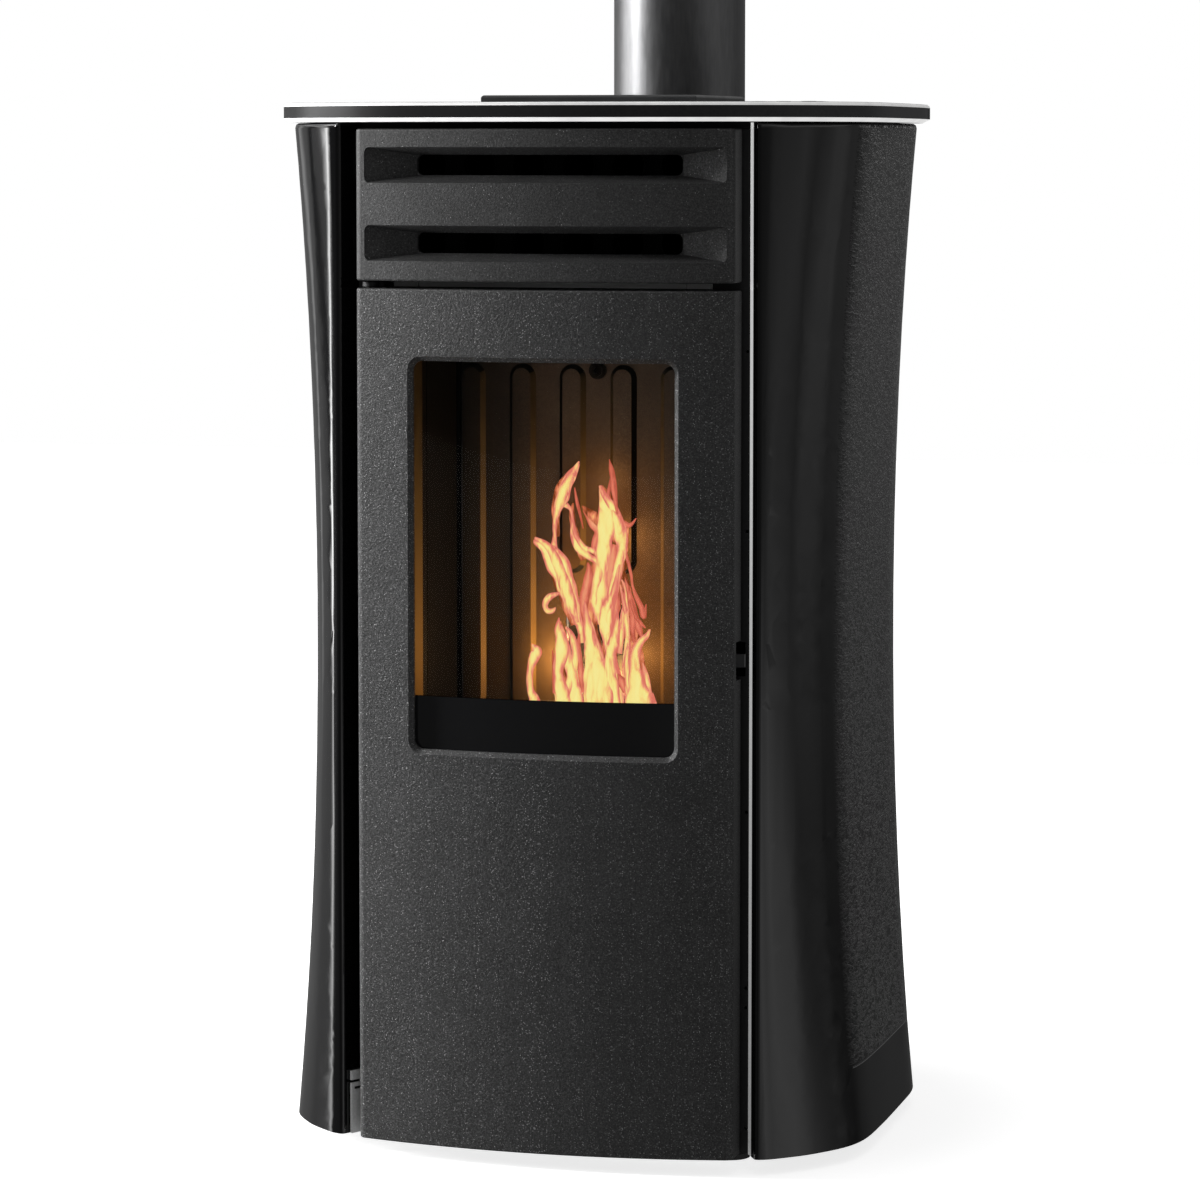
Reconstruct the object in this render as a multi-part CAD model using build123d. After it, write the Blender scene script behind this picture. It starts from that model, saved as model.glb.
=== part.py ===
from build123d import *
import math
import os

# Free-standing pellet stove with its flue pipe. Millimetres, +Z up, the door faces -Y.
# The drawing frame has y = 0 at the chord of the bowed door; everything is moved by Y_SHIFT
# on export so that the origin is the bottom centre of the whole stove.

os.makedirs("parts", exist_ok=True)

# ---------------------------------------------------------------- driving dimensions
Y_SHIFT = -271.5

SKIRT_Z = 15.0            # lower edge of door, frame and side panels above the floor
BODY_TOP = 976.0          # top of the side panels
PLATE_Z0, PLATE_Z1 = 976.7, 995.0
BOW_R = 755.6             # radius of the bowed front
BOW_CY = 733.6            # its centre, behind the door
DOOR_HW = 181.0           # half width of the door's front
DOOR_SIDE = 182.5         # half width over the side returns
DOOR_BACK = 30.0
DOOR_TOP = 822.0
DOOR_SKIN = 8.0
WIN_CX = 2.5              # window centre
WIN_HW = 126.0            # half width of the clear window
WIN_Z0, WIN_Z1 = 391.0, 755.0
WIN_R = 9.0
WIN_BEVEL = 4.5
GRILLE_Z0, GRILLE_Z1 = 829.0, 970.4
SLOT_Z = (864.3, 936.8)
SLOT_X0, SLOT_X1 = -124.5, 131.0   # ends of the warm-air slots
FRAME_Y0, FRAME_Y1 = 34.0, 37.0
BODY_HW = 215.0           # half width over the frame sides
REAR_Y = 420.0
FIRE_HW = 152.0           # half width over the firebox shell
FIRE_BACK = 210.0
LINER_HW = 138.0
LINER_Y = 192.5
LINER_Z0 = 365.0
IGN_Z = 378.0             # igniter's axis height
HINGE_X, HINGE_Y = -172.0, 16.0
LATCH_X, LATCH_Y = 174.0, 18.0
FLUE_Y = 503.0
FLUE_R = 67.5
FLUE_TOP = 1240.0
OUTLET_Z = 165.0
AUGER_P = (340.0, 345.0)  # low end of the auger axis (y, z)
AUGER_U = (-0.393, 0.9195)
AUGER_N = (0.9195, 0.393)
LID_HW = 107.0
LID_Y0, LID_Y1 = 156.0, 347.0
LID_AXIS_Y, LID_AXIS_Z = 351.5, 1000.5

parts = {}


def put(name, shape, shift=True):
    if isinstance(shape, (list, tuple, ShapeList)):
        shape = Compound(children=list(shape))
    parts[name] = shape.moved(Location((0, Y_SHIFT, 0))) if shift else shape


def bx(x0, x1, y0, y1, z0, z1):
    return Box(x1 - x0, y1 - y0, z1 - z0).moved(
        Location(((x0 + x1) / 2, (y0 + y1) / 2, (z0 + z1) / 2))
    )


def cz(x, y, r, z0, z1):
    return Cylinder(r, z1 - z0).moved(Location((x, y, (z0 + z1) / 2)))


def cx(y, z, r, x0, x1):
    return Cylinder(r, x1 - x0, rotation=(0, 90, 0)).moved(Location(((x0 + x1) / 2, y, z)))


def cy(x, z, r, y0, y1):
    return Cylinder(r, y1 - y0, rotation=(90, 0, 0)).moved(Location((x, (y0 + y1) / 2, z)))


def plan(points, z0, z1):
    """Upright prism on a plan outline."""
    face = Face(Wire.make_polygon([Vector(x, y, z0) for x, y in points], close=True))
    return Solid.extrude(face, Vector(0, 0, z1 - z0))


def side(points, x0, x1):
    """Prism across the stove on a (y, z) outline."""
    face = Face(Wire.make_polygon([Vector(x0, y, z) for y, z in points], close=True))
    return Solid.extrude(face, Vector(x1 - x0, 0, 0))


def bow_y(x, r=BOW_R):
    return BOW_CY - math.sqrt(r * r - x * x)


def bowed(hw, r, back, z0, z1, corner=0.0, out=None):
    """Block with a bowed front of radius r and a flat back."""
    out = hw if out is None else out
    yf = bow_y(hw, r)
    if corner:
        # rounding tangent to the bow and to the side return
        xc = out - corner
        yc = BOW_CY - math.sqrt((r - corner) ** 2 - xc * xc)
        dl = math.hypot(xc, BOW_CY - yc)
        ux, uy = xc / dl, (yc - BOW_CY) / dl
        a = Vector(xc + ux * corner, yc + uy * corner, z0)
        b = Vector(out, yc, z0)
        am = math.atan2(uy, ux) / 2
        m = Vector(xc + corner * math.cos(am), yc + corner * math.sin(am), z0)
        a2, b2, m2 = (Vector(-v.X, v.Y, v.Z) for v in (a, b, m))
        edges = [
            Edge.make_three_point_arc(a2, Vector(0, BOW_CY - r, z0), a),
            Edge.make_three_point_arc(a, m, b),
            Edge.make_line(b, Vector(out, back, z0)),
            Edge.make_line(Vector(out, back, z0), Vector(-out, back, z0)),
            Edge.make_line(Vector(-out, back, z0), b2),
            Edge.make_three_point_arc(b2, m2, a2),
        ]
    else:
        edges = [
            Edge.make_three_point_arc(
                Vector(-hw, yf, z0), Vector(0, BOW_CY - r, z0), Vector(hw, yf, z0)
            ),
            Edge.make_line(Vector(hw, yf, z0), Vector(hw, back, z0)),
            Edge.make_line(Vector(hw, back, z0), Vector(-hw, back, z0)),
            Edge.make_line(Vector(-hw, back, z0), Vector(-hw, yf, z0)),
        ]
    face = Face(Wire(edges))
    return Solid.extrude(face, Vector(0, 0, z1 - z0))


def auger_pt(t, n=0.0):
    return (
        AUGER_P[0] + AUGER_U[0] * t + AUGER_N[0] * n,
        AUGER_P[1] + AUGER_U[1] * t + AUGER_N[1] * n,
    )


AUGER_PLANE = Plane(
    origin=(0, AUGER_P[0], AUGER_P[1]), x_dir=(1, 0, 0), z_dir=(0, AUGER_U[0], AUGER_U[1])
)


def auger_cyl(r, t0, t1):
    c = Cylinder(r, t1 - t0).moved(Location((0, 0, (t0 + t1) / 2)))
    return c.moved(AUGER_PLANE.location)


def auger_box(hx, hy, t0, t1):
    c = Box(2 * hx, 2 * hy, t1 - t0).moved(Location((0, 0, (t0 + t1) / 2)))
    return c.moved(AUGER_PLANE.location)


# ---------------------------------------------------------------- base
base = bx(-196, 196, 41, 414, 20, 23)
base += bx(-196, 196, 41, 43, 20, 40)
base += bx(-196, 196, 412, 414, 20, 40)
base += bx(-196, -194, 41, 414, 20, 40)
base += bx(194, 196, 41, 414, 20, 40)
FEET = [(-160, 84), (160, 84), (-160, 380), (160, 380)]
for fx, fy in FEET:
    base -= bx(fx - 6, fx + 6, fy - 6, fy + 6, 19, 24)
# intake slot for the room fan
base -= bx(-90, 100, 82, 148, 19, 24)
put("base_plate", base)

feet = []
for fx, fy in FEET:
    pad = cz(fx, fy, 19, 0, 5) + Cone(19, 16, 2).moved(Location((fx, fy, 6)))
    foot = pad + cz(fx, fy, 9, 7, 11) + cz(fx, fy, 5, 11, 44)
    foot += Solid.extrude(
        Face(
            Wire.make_polygon(
                [
                    Vector(fx + 9 * math.cos(math.radians(60 * i)), fy + 9 * math.sin(math.radians(60 * i)), 13.5)
                    for i in range(6)
                ],
                close=True,
            )
        ),
        Vector(0, 0, 6.3),
    )
    feet.append(foot.rotate(Axis((fx, fy, 0), (0, 0, 1)), 37))
put("levelling_feet", feet)

# ---------------------------------------------------------------- frame sheets
for sgn, nm in ((-1, "left"), (1, "right")):
    x0, x1 = sorted((sgn * 213.5, sgn * 215.0))
    sheet = bx(x0, x1, 38, 417, 20, 970)
    xa, xb = sorted((sgn * 200.0, sgn * 213.5))
    sheet += bx(xa, xb, 38, 39.5, 20, 970)
    sheet += bx(xa, xb, 415.5, 417, 20, 970)
    for i in range(7):
        z = 700 + i * 34
        sheet -= bx(x0 - 1, x1 + 1, 120, 330, z, z + 10)
    put(nm + "_frame_side", sheet)

front = bx(-212, 212, FRAME_Y0, FRAME_Y1, 16, 970)
front -= bx(-139, 139, 33, 38, 264, 768)                   # firebox mouth
front -= bx(-148, 148, 33, 38, 845, 884)                   # warm air window, lower row
front -= bx(-148, 148, 33, 38, 917, 956)                   # warm air window, upper row
front -= bx(160.5, 186, 33, 38, 464, 496)                  # latch slot
front -= bx(-174.6, -159.4, 33, 38, 15, 19)                # hinge arm
front -= bx(-192, -183, 33, 38, 15, 75.6)                   # hinge upright
for sgn in (-1, 1):
    for hz in (38.7, 153.0, 171.6, 337.0, 599.0, 765.5):
        front -= cy(sgn * 187.3, hz, 1.6, 33, 38)
front += bx(-154, -130.5, 30, FRAME_Y0, 822.8, 827.6)      # lip above the door
front += bx(-129.5, 129.5, 30, FRAME_Y0, 822.8, 827.6)
front += bx(130.5, 154, 30, FRAME_Y0, 822.8, 827.6)
# keeper: cheek plates and pin on the back of the frame
front += bx(158, 160, FRAME_Y1, 52, 460, 500)
front += bx(158, 172, FRAME_Y1, 52, 497, 500)
front += bx(158, 172, FRAME_Y1, 52, 460, 463)
front += cz(166, 44.5, 3, 462, 498)
put("front_frame", front)

# ---------------------------------------------------------------- door hinge
low = bx(-174, -160, 16, 39.9, 14.7, 18.4) + cz(HINGE_X, HINGE_Y, 8, 14.7, 18.4)
low -= bx(-190, -174, 16.5, 26, 14, 19)
low -= cz(HINGE_X, HINGE_Y, 4, 14, 19)
# upright in the gap beside the door, with two adjusting slots
p0, p1 = (-196.9, 17.5), (-186.4, 37.7)
dx, dy = p1[0] - p0[0], p1[1] - p0[1]
ln = math.hypot(dx, dy)
nx, ny = dy / ln, -dx / ln
up = plan([p0, p1, (p1[0] + nx * 2.5, p1[1] + ny * 2.5), (p0[0] + nx * 2.5, p0[1] + ny * 2.5)], 15, 75)
cut = []
for za, zb, ta, tb in ((63.4, 66.2, -0.1, 0.55), (56.8, 59.6, 0.15, 1.05)):
    q0 = (p0[0] + dx * ta - nx, p0[1] + dy * ta - ny)
    q1 = (p0[0] + dx * tb - nx, p0[1] + dy * tb - ny)
    up -= plan([q0, q1, (q1[0] + nx * 5, q1[1] + ny * 5), (q0[0] + nx * 5, q0[1] + ny * 5)], za, zb)
up += bx(-188.4, -160, 37.2, 39.9, 15, 60)
low = low + up
put("lower_hinge_bracket", low)

top_b = bx(-180, -160, 16, 33.9, 823.2, 827.2) + cz(HINGE_X, HINGE_Y, 8, 823.2, 827.2)
top_b -= bx(-156, -150, 15, 35, 822, 828)
top_b -= cz(HINGE_X, HINGE_Y, 4, 822, 828)
put("upper_hinge_bracket", top_b)
put(
    "door_hinge_pins",
    [cz(HINGE_X, HINGE_Y, 4, 14.7, 44), cz(HINGE_X, HINGE_Y, 4, 795, 827.2)],
)

# ---------------------------------------------------------------- door
door = bowed(DOOR_HW, BOW_R, DOOR_BACK, SKIRT_Z, DOOR_TOP, corner=8.0, out=DOOR_SIDE)
try:
    es = [e for e in door.edges() if abs(e.center().Z - DOOR_TOP) < 0.01 or abs(e.center().Z - SKIRT_Z) < 0.01]
    es = [e for e in es if e.center().Y < 6]
    door = door.fillet(2.0, es)
except Exception as err:
    print("door edge rounding left out:", err)
cav = bowed(178.0, BOW_R - DOOR_SKIN, 31.0, 23.0, 816.0)
door = door - cav
low_cav = bowed(178.0, BOW_R - DOOR_SKIN, 31.0, 14.0, 19.0)
door -= low_cav
door -= bx(-184, -176, 9.5, 31, 14, 19)
win_plane = Plane(origin=(WIN_CX, -60, (WIN_Z0 + WIN_Z1) / 2), x_dir=(1, 0, 0), z_dir=(0, 1, 0))
wz = WIN_Z1 - WIN_Z0
hole = extrude(win_plane * RectangleRounded(2 * WIN_HW, wz, WIN_R), 80)
door -= hole


edge_sel = []
for e in door.edges():
    c = e.center()
    r = math.hypot(c.X, c.Y - BOW_CY)
    if abs(c.X - WIN_CX) < WIN_HW + 1 and WIN_Z0 - 1 < c.Z < WIN_Z1 + 1:
        pts = [e.position_at(u) for u in (0.0, 0.5, 1.0)]
        if all(abs(math.hypot(p.X, p.Y - BOW_CY) - BOW_R) < 0.05 for p in pts):
            edge_sel.append(e)
print("window rim edges", len(edge_sel))
try:
    door = door.chamfer(WIN_BEVEL, None, edge_sel)
except Exception as err:
    print("window bevel by chamfer failed:", err)
# hinge bosses and holes
boss = cz(HINGE_X, HINGE_Y, 6.5, 790, 816) - bx(-200, -178, 0, 40, 780, 820)
door += boss
boss = cz(HINGE_X, HINGE_Y, 6.5, 23, 48) - bx(-200, -178, 0, 40, 20, 50)
door += boss
door -= cz(HINGE_X, HINGE_Y, 4.05, 14, 46)
door -= cz(HINGE_X, HINGE_Y, 4.05, 793, 823)
# notch in the right return for the latch tab
door -= bx(177, 184, 12, 31, 462, 498)
put("door_panel", door)

glass = bowed(142, BOW_R - DOOR_SKIN - 0.3, 60, 374, 772) - bowed(143, BOW_R - DOOR_SKIN - 4.6, 61, 373, 773)
put("door_glass", glass)

rg = BOW_R - DOOR_SKIN - 5.2
inner = bowed(160, rg, 24, 245, 800)
inner -= bx(-134, 138.5, -60, 25, 382, 764)                # behind the glass
inner -= bx(-136, 136, -60, 25, 262, 352)                  # room for the ash drawer
sh = bowed(157, rg, 20.5, 249, 796)                        # hollow of the pressed frame
sh -= bx(-137.5, 142, -60, 25, 378.5, 767.5)
sh -= bx(-139.5, 139.5, -60, 25, 258.5, 355.5)
inner -= sh
put("door_inner_frame", inner)

rope = bx(-157.5, 157.5, 24.1, 33.6, 247.5, 797.5)
rope -= bx(-148, 148, 24, 34, 257, 788)
try:
    rope = rope.fillet(3.2, [e for e in rope.edges() if abs(e.center().Y - 33.6) < 0.01])
except Exception as err:
    print("rope rounding left out:", err)
put("door_gasket", rope)

# ---------------------------------------------------------------- latch
lb = bx(163.0, 177.6, 8.2, 26, 459, 501) - bx(165.0, 178, 10.2, 27, 463, 497)
lb += cz(LATCH_X, LATCH_Y, 2.5, 462, 498)
put("latch_bracket", lb)
lev = cz(LATCH_X, LATCH_Y, 5.0, 470, 490)
lev += bx(172, 176, LATCH_Y, 53, 475, 485)
lev += bx(163.5, 176, 48.6, 53, 475, 485)
lev += plan([(174, 15.2), (188.2, 21.5), (188.2, 25.0), (184, 25.0), (174, 20.6)], 474, 486)
lev -= cz(LATCH_X, LATCH_Y, 2.55, 469, 491)
put("latch_lever", lev)

# ---------------------------------------------------------------- firebox
fire = bx(-FIRE_HW, FIRE_HW, 38, FIRE_BACK, 262, 800) - bx(-149, 149, 37, 207, 265, 801)
ex = bx(-FIRE_HW, FIRE_HW, 38, 152, 800, 962) - bx(-149, 149, 40, 149, 799, 959.5)
roof = bx(-FIRE_HW, FIRE_HW, 149, FIRE_BACK, 797.5, 800)
fire = fire + ex + roof
TUBES = [(-120 + 48 * i, z) for z in (864.5, 936.5) for i in range(6)]
for tx, tz in TUBES:
    fire -= cy(tx, tz, 17.2, 37, 153)
CHUTE = [(192.6, 420), (192.6, 511), (213, 553), (237.3, 559.8), (266, 492.7), (247, 480.5)]
CHUTE_OUT = [(190, 415.6), (190, 512.0), (212.3, 557.5), (240, 565), (273, 492), (249.2, 475.8)]
fire -= side(CHUTE_OUT, -32.6, 32.6)
fire -= cy(0, IGN_Z, 7, 200, 215)
fire -= cy(105, 300, 22, 200, 215)
fire -= bx(-153, -148, 72, 188, 830, 950)                  # smoke outlet to the side duct
put("firebox_shell", fire)
put(
    "exchanger_tubes",
    [cy(tx, tz, 17.0, 36.5, 156) - cy(tx, tz, 15.4, 36, 157) for tx, tz in TUBES],
)

back = bx(-LINER_HW, LINER_HW, LINER_Y, 204.5, LINER_Z0, 765)


def pad_shape(xc, za, zb, hw=13.7, rise=5.0):
    """Raised, bevelled pad with rounded ends on the back liner."""
    length = zb - za
    pl = Plane(origin=(xc, LINER_Y + 0.5, (za + zb) / 2), x_dir=(1, 0, 0), z_dir=(0, -1, 0))
    sk = pl * Rot(0, 0, 90) * SlotOverall(length, 2 * hw)
    return extrude(sk, rise + 0.5, taper=40)


PADS = [(-127, 405, 744), (-76, 405, 744), (-25.5, 540, 744), (25.5, 540, 744), (76, 405, 744), (127, 405, 744)]
for xc, za, zb in PADS:
    pd = pad_shape(xc, za, zb)
    if abs(xc) > 120:
        pd = pd & bx(-LINER_HW, LINER_HW, 180, 200, 300, 800)
    back += pd
back -= side(CHUTE_OUT, -32.6, 32.6)
back -= cy(0, IGN_Z, 7, 180, 215)
back -= cy(0, 738, 3.2, 180, 206)
put("back_liner", back)
bolt = cy(0, 738, 3.0, 188.6, 206.8) + cy(0, 738, 8.6, 189.4, 192.4)
bolt += cy(0, 738, 5.6, 185.6, 189.4) - cy(0, 738, 3.0, 185, 188.6)
put("liner_bolt", bolt)

for sgn, nm in ((-1, "left"), (1, "right")):
    xa, xb = sorted((sgn * 148.8, sgn * LINER_HW))
    lin = bx(xa, xb, 40.5, 79, LINER_Z0, 765)
    xc, xd = sorted((sgn * 148.8, sgn * 143.0))
    lin += bx(xc, xd, 79, 190, LINER_Z0, 765)
    xe, xf = sorted((sgn * 143.5, sgn * 138.5))
    lin += bx(xe, xf, 82.5, 87.0, LINER_Z0, 765)
    put(nm + "_liner", lin)

baf = bx(-137.5, 137.5, 62, 192, 765.3, 773.3)
put("baffle", baf)

shelf = bx(-148.8, 148.8, 41, 206.8, 358, 364.6)
shelf -= bx(-62.6, 62.6, 99, 181, 357, 365.5)
shelf -= bx(-140, -80, 60, 185, 357, 365.5)
shelf -= bx(80, 140, 60, 185, 357, 365.5)
shelf += bx(-148.8, 148.8, 41, 206.8, 355, 358) - bx(-146, 146, 43.5, 204, 354, 359)
put("burn_pot_shelf", shelf)

pot = bx(-70, 70, 93, 187, 364.9, 370) + bx(-62, 62, 99.5, 180.5, 360, 416)
pot += bx(-66.5, 66.5, 95, 185, 408, 416)
pot = pot.fillet(5, [e for e in pot.edges().filter_by(Axis.Z) if e.length > 30])
pot -= bx(-57, 57, 104.5, 175.5, 365.5, 417)
for ix in range(7):
    for iy in range(4):
        pot -= cz(-45 + 15 * ix, 117.5 + 15 * iy, 2.6, 359, 367)
    pot -= cy(-45 + 15 * ix, 392, 2.2, 94, 110)
pot -= cy(0, IGN_Z, 5.5, 170, 190)
put("burn_pot", pot)

igniter = cy(0, IGN_Z, 5, 188.4, 232) + cy(0, IGN_Z, 9, 211, 224)
put("igniter", igniter)

drw = bx(-126, 126, 46, 186, 265.4, 345) - bx(-124.4, 124.4, 47.6, 184.4, 267.0, 346)
drw += bx(-130, 130, 43.5, 46, 265.4, 349)
put("ash_drawer", drw)
hd = bx(-40, 40, 27, 31, 311, 323) + bx(-40, -34, 31, 43.4, 311, 323) + bx(34, 40, 31, 43.4, 311, 323)
try:
    hd = hd.fillet(1.6, [e for e in hd.edges() if abs(e.center().Y - 27) < 0.01])
except Exception as err:
    print("handle rounding left out:", err)
put("ash_drawer_handle", hd)

# ---------------------------------------------------------------- pellet feed
ch = side([(192.6, 419), (192.6, 511), (213, 554), (237.3, 561.5), (268, 492), (247, 479.3)], -32, 32)
# the lower wall keeps 1.8 mm all along
ch_in = side([(190, 419.2), (190, 506.0), (214.5, 551.5), (240, 562), (274, 500), (246.2, 481.9)], -30, 30)
ch -= ch_in
ch -= auger_cyl(30.3, -60, 300)
chute_s = sorted(ch.solids(), key=lambda s: -s.volume)
print("chute solids", [round(c.volume) for c in chute_s])
put("pellet_chute", chute_s[0])

tube = auger_cyl(30, -34, 246) - auger_cyl(27, -36, 248)
tube -= bx(-24, 24, auger_pt(0)[0], 420, 352, 424) & auger_box(24, 60, 6, 80)
inlet = auger_box(23, 40, 8, 76).moved(Location((0, AUGER_N[0] * 40, AUGER_N[1] * 40)))
tube -= inlet
outlet = auger_box(24, 40, 170, 232).moved(Location((0, -AUGER_N[0] * 40, -AUGER_N[1] * 40)))
tube -= outlet
tube += auger_cyl(30, 246, 249) - auger_cyl(8.3, 240, 260)
tube += auger_cyl(30, -37, -34) - auger_cyl(8.3, -40, -30)
put("auger_tube", tube)

# screw: shaft with a helical flight
PITCH = 38.0
FL_T0, FL_T1 = -24.0, 236.0
shaft = Cylinder(8.0, 254 + 42).moved(Location((0, 0, 106)))
try:
    helix = Edge.make_helix(PITCH, FL_T1 - FL_T0, 16.0)
    prof = Plane(
        origin=helix.position_at(0), x_dir=(1, 0, 0), z_dir=helix.tangent_at(0)
    ) * Rectangle(17.2, 2.6)
    flight = sweep(prof, path=helix, is_frenet=True)
    flight = flight.moved(Location((0, 0, FL_T0)))
    screw = shaft + flight
    print("flight volume", flight.volume, "screw solids", len(screw.solids()))
except Exception as err:
    print("helical flight failed:", err)
    screw = shaft
put("auger_screw", screw.moved(AUGER_PLANE.location))

gm = auger_box(30, 30, -92, -43)
mot = Cylinder(20, 47, rotation=(0, 90, 0)).moved(Location((52.5, 0, -70)))
gm = gm + mot.moved(AUGER_PLANE.location)
gm -= auger_cyl(8.3, -60, -40)
put("auger_gearmotor", gm)

# hopper with its sloping funnel
hz0 = 440.0
hop_out = side([(158, 968), (158, 905), (232, 815), (232, 690), (410, 690), (410, 968)], -150, 150)
hop_in = side([(159.5, 970), (159.5, 905.6), (233.5, 815.6), (233.5, 689), (408.5, 689), (408.5, 970)], -148.5, 148.5)


def rect_face(x, y0, y1, z):
    return Face(
        Wire.make_polygon([Vector(-x, y0, z), Vector(x, y0, z), Vector(x, y1, z), Vector(-x, y1, z)], close=True)
    )


fun_out = Solid.make_loft(
    [
        Wire.make_polygon([Vector(-150, 232, 690), Vector(150, 232, 690), Vector(150, 410, 690), Vector(-150, 410, 690)], close=True),
        Wire.make_polygon([Vector(-27, 338, hz0), Vector(27, 338, hz0), Vector(27, 378, hz0), Vector(-27, 378, hz0)], close=True),
    ],
    ruled=True,
)
fun_in = Solid.make_loft(
    [
        Wire.make_polygon([Vector(-148.5, 233.5, 690), Vector(148.5, 233.5, 690), Vector(148.5, 408.5, 690), Vector(-148.5, 408.5, 690)], close=True),
        Wire.make_polygon([Vector(-25.2, 339.8, hz0), Vector(25.2, 339.8, hz0), Vector(25.2, 376.2, hz0), Vector(-25.2, 376.2, hz0)], close=True),
    ],
    ruled=True,
)
neck_out = side([(338, hz0), (378, hz0), (378, 302), (338, 396)], -27, 27)
neck_in = side([(339.8, hz0 + 1), (376.2, hz0 + 1), (376.2, 300), (339.8, 380)], -25.2, 25.2)
hopper = (hop_out - hop_in) + (fun_out - fun_in) + (neck_out - neck_in)
hopper -= hop_in
hopper -= auger_cyl(30.4, -60, 300)
hopper -= auger_box(31, 31, -95, -39.5)
rim = bx(-158, 158, 158, 410, 967, 969) - bx(-148.5, 148.5, 159.5, 408.5, 960, 970)
rim -= bx(-160, 160, 150, 153.5, 960, 970)
hopper += rim
hs = sorted(hopper.solids(), key=lambda s: -s.volume)
print("hopper solids", [round(s.volume) for s in hs])
put("hopper", hs[0])

# ---------------------------------------------------------------- smoke side
SMY, SMZ = 300.0, 190.0
hous = cx(SMY, SMZ, 72, -28, 28) + bx(-28, 28, SMY, 400, SMZ - 72, SMZ + 16)
hous += cy(0, OUTLET_Z, 40, 398, 437)
inn = cx(SMY, SMZ, 70, -26, 26) + bx(-26, 26, SMY, 398, SMZ - 70, SMZ + 14)
inn += cy(0, OUTLET_Z, 38.4, 390, 440)
hous -= inn
hous -= cx(SMY, SMZ, 26, -30, -24)
hous -= cx(SMY, SMZ, 5.4, 24, 30)
put("smoke_fan_housing", hous)

imp = cx(SMY, SMZ, 58, 16, 18.5) + cx(SMY, SMZ, 9, -4, 24)
for i in range(10):
    a = math.radians(36 * i)
    v = Box(36, 2.0, 52).moved(Location((-1.5, 0, 33)))
    v = v.rotate(Axis.X, 36 * i)
    imp += v.moved(Location((0, SMY, SMZ)))
imp -= cx(SMY, SMZ, 14, -25, -4)
imp -= cx(SMY, SMZ, 5.05, -10, 30)
put("smoke_fan_impeller", imp)
smot = cx(SMY, SMZ, 38, 34, 82) + cx(SMY, SMZ, 20, 82, 92) + cx(SMY, SMZ, 5.0, -2, 34)
smot += cx(SMY, SMZ, 48, 28.2, 34) - cx(SMY, SMZ, 30, 28, 33)
smot -= cx(SMY, SMZ, 30, 28, 33) - cx(SMY, SMZ, 5.0, 20, 40)
put("smoke_fan_motor", smot)

sd = bx(-178, -152.3, 70, 190, 155, 955)
sd += bx(-178, -118, 70, 338, 155, 229)
sd += bx(-120, -28.4, 262, 338, 155, 229)
sdi = bx(-176.5, -153.8, 71.5, 188.5, 156.5, 953.5)
sdi += bx(-176.5, -119.5, 71.5, 336.5, 156.5, 227.5)
sdi += bx(-130, -29.9, 263.5, 336.5, 156.5, 227.5)
sd -= sdi
sd -= bx(-155, -151, 74, 186, 832, 948)
sd -= cx(SMY, SMZ, 26, -32, -27)
put("smoke_duct", sd)

tee = cy(0, OUTLET_Z, 42.3, 424, 470) + cz(0, FLUE_Y, FLUE_R, 72, 262)
tee -= cy(0, OUTLET_Z, 40.4, 420, 470)
tee -= cz(0, FLUE_Y, FLUE_R - 1.6, 71, 263)
tee -= cy(0, OUTLET_Z, 40.4, 430, 480)
tee += cz(0, FLUE_Y, FLUE_R + 2.5, 240, 262) - cz(0, FLUE_Y, FLUE_R - 0.5, 239, 263)
tee += cz(0, FLUE_Y, FLUE_R + 1.8, 60, 84) - cz(0, FLUE_Y, FLUE_R - 0.5, 62, 85)
ts = sorted(tee.solids(), key=lambda s: -s.volume)
print("tee solids", [round(s.volume) for s in ts])
put("flue_tee", tee)
pipe = cz(0, FLUE_Y, FLUE_R, 262.2, FLUE_TOP) - cz(0, FLUE_Y, FLUE_R - 1.6, 261, FLUE_TOP + 1)
pipe -= cz(0, FLUE_Y, FLUE_R + 1, FLUE_TOP - 55, FLUE_TOP + 1) - cz(0, FLUE_Y, FLUE_R - 0.8, FLUE_TOP - 56, FLUE_TOP + 2)
pipe += cz(0, FLUE_Y, FLUE_R + 0.9, FLUE_TOP - 66, FLUE_TOP - 58) - cz(0, FLUE_Y, FLUE_R - 1.0, FLUE_TOP - 67, FLUE_TOP - 57)
put("flue_pipe", pipe)

# ---------------------------------------------------------------- room fan
RFY, RFZ = 112.0, 98.0
rf = bx(-112, 112, 66, 158, 56, 150)
rf = rf - bx(-110.5, 110.5, 67.5, 156.5, 57.5, 151)
rf -= bx(-100, 100, 80, 144, 55, 60)
put("room_fan_housing", rf)
rot = cx(RFY, RFZ, 30, -96, -94) + cx(RFY, RFZ, 30, 94, 96) + cx(RFY, RFZ, 30, -1, 1) + cx(RFY, RFZ, 4, -111.4, 118)
for i in range(16):
    v = Box(190, 1.4, 7).moved(Location((0, 0, 26)))
    v = v.rotate(Axis.X, 22.5 * i)
    rot += v.moved(Location((0, RFY, RFZ)))
put("room_fan_rotor", rot)
rm = cx(RFY, RFZ, 30, 121, 160) + cx(RFY, RFZ, 12, 112.4, 121)
rm -= cx(RFY, RFZ, 4.05, 112, 120)
parts["room_fan_housing"] = parts["room_fan_housing"] - (
    cx(RFY, RFZ, 4.05, -113, 113).moved(Location((0, Y_SHIFT, 0)))
)
put("room_fan_motor", rm)

# ---------------------------------------------------------------- rear
air = cy(105, 300, 24.6, 210.3, 420.1) + cy(105, 300, 29, 420.1, 422.0) + cy(105, 300, 25, 422.0, 460)
air -= cy(105, 300, 23.0, 209, 461)
put("air_inlet_pipe", air)

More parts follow.
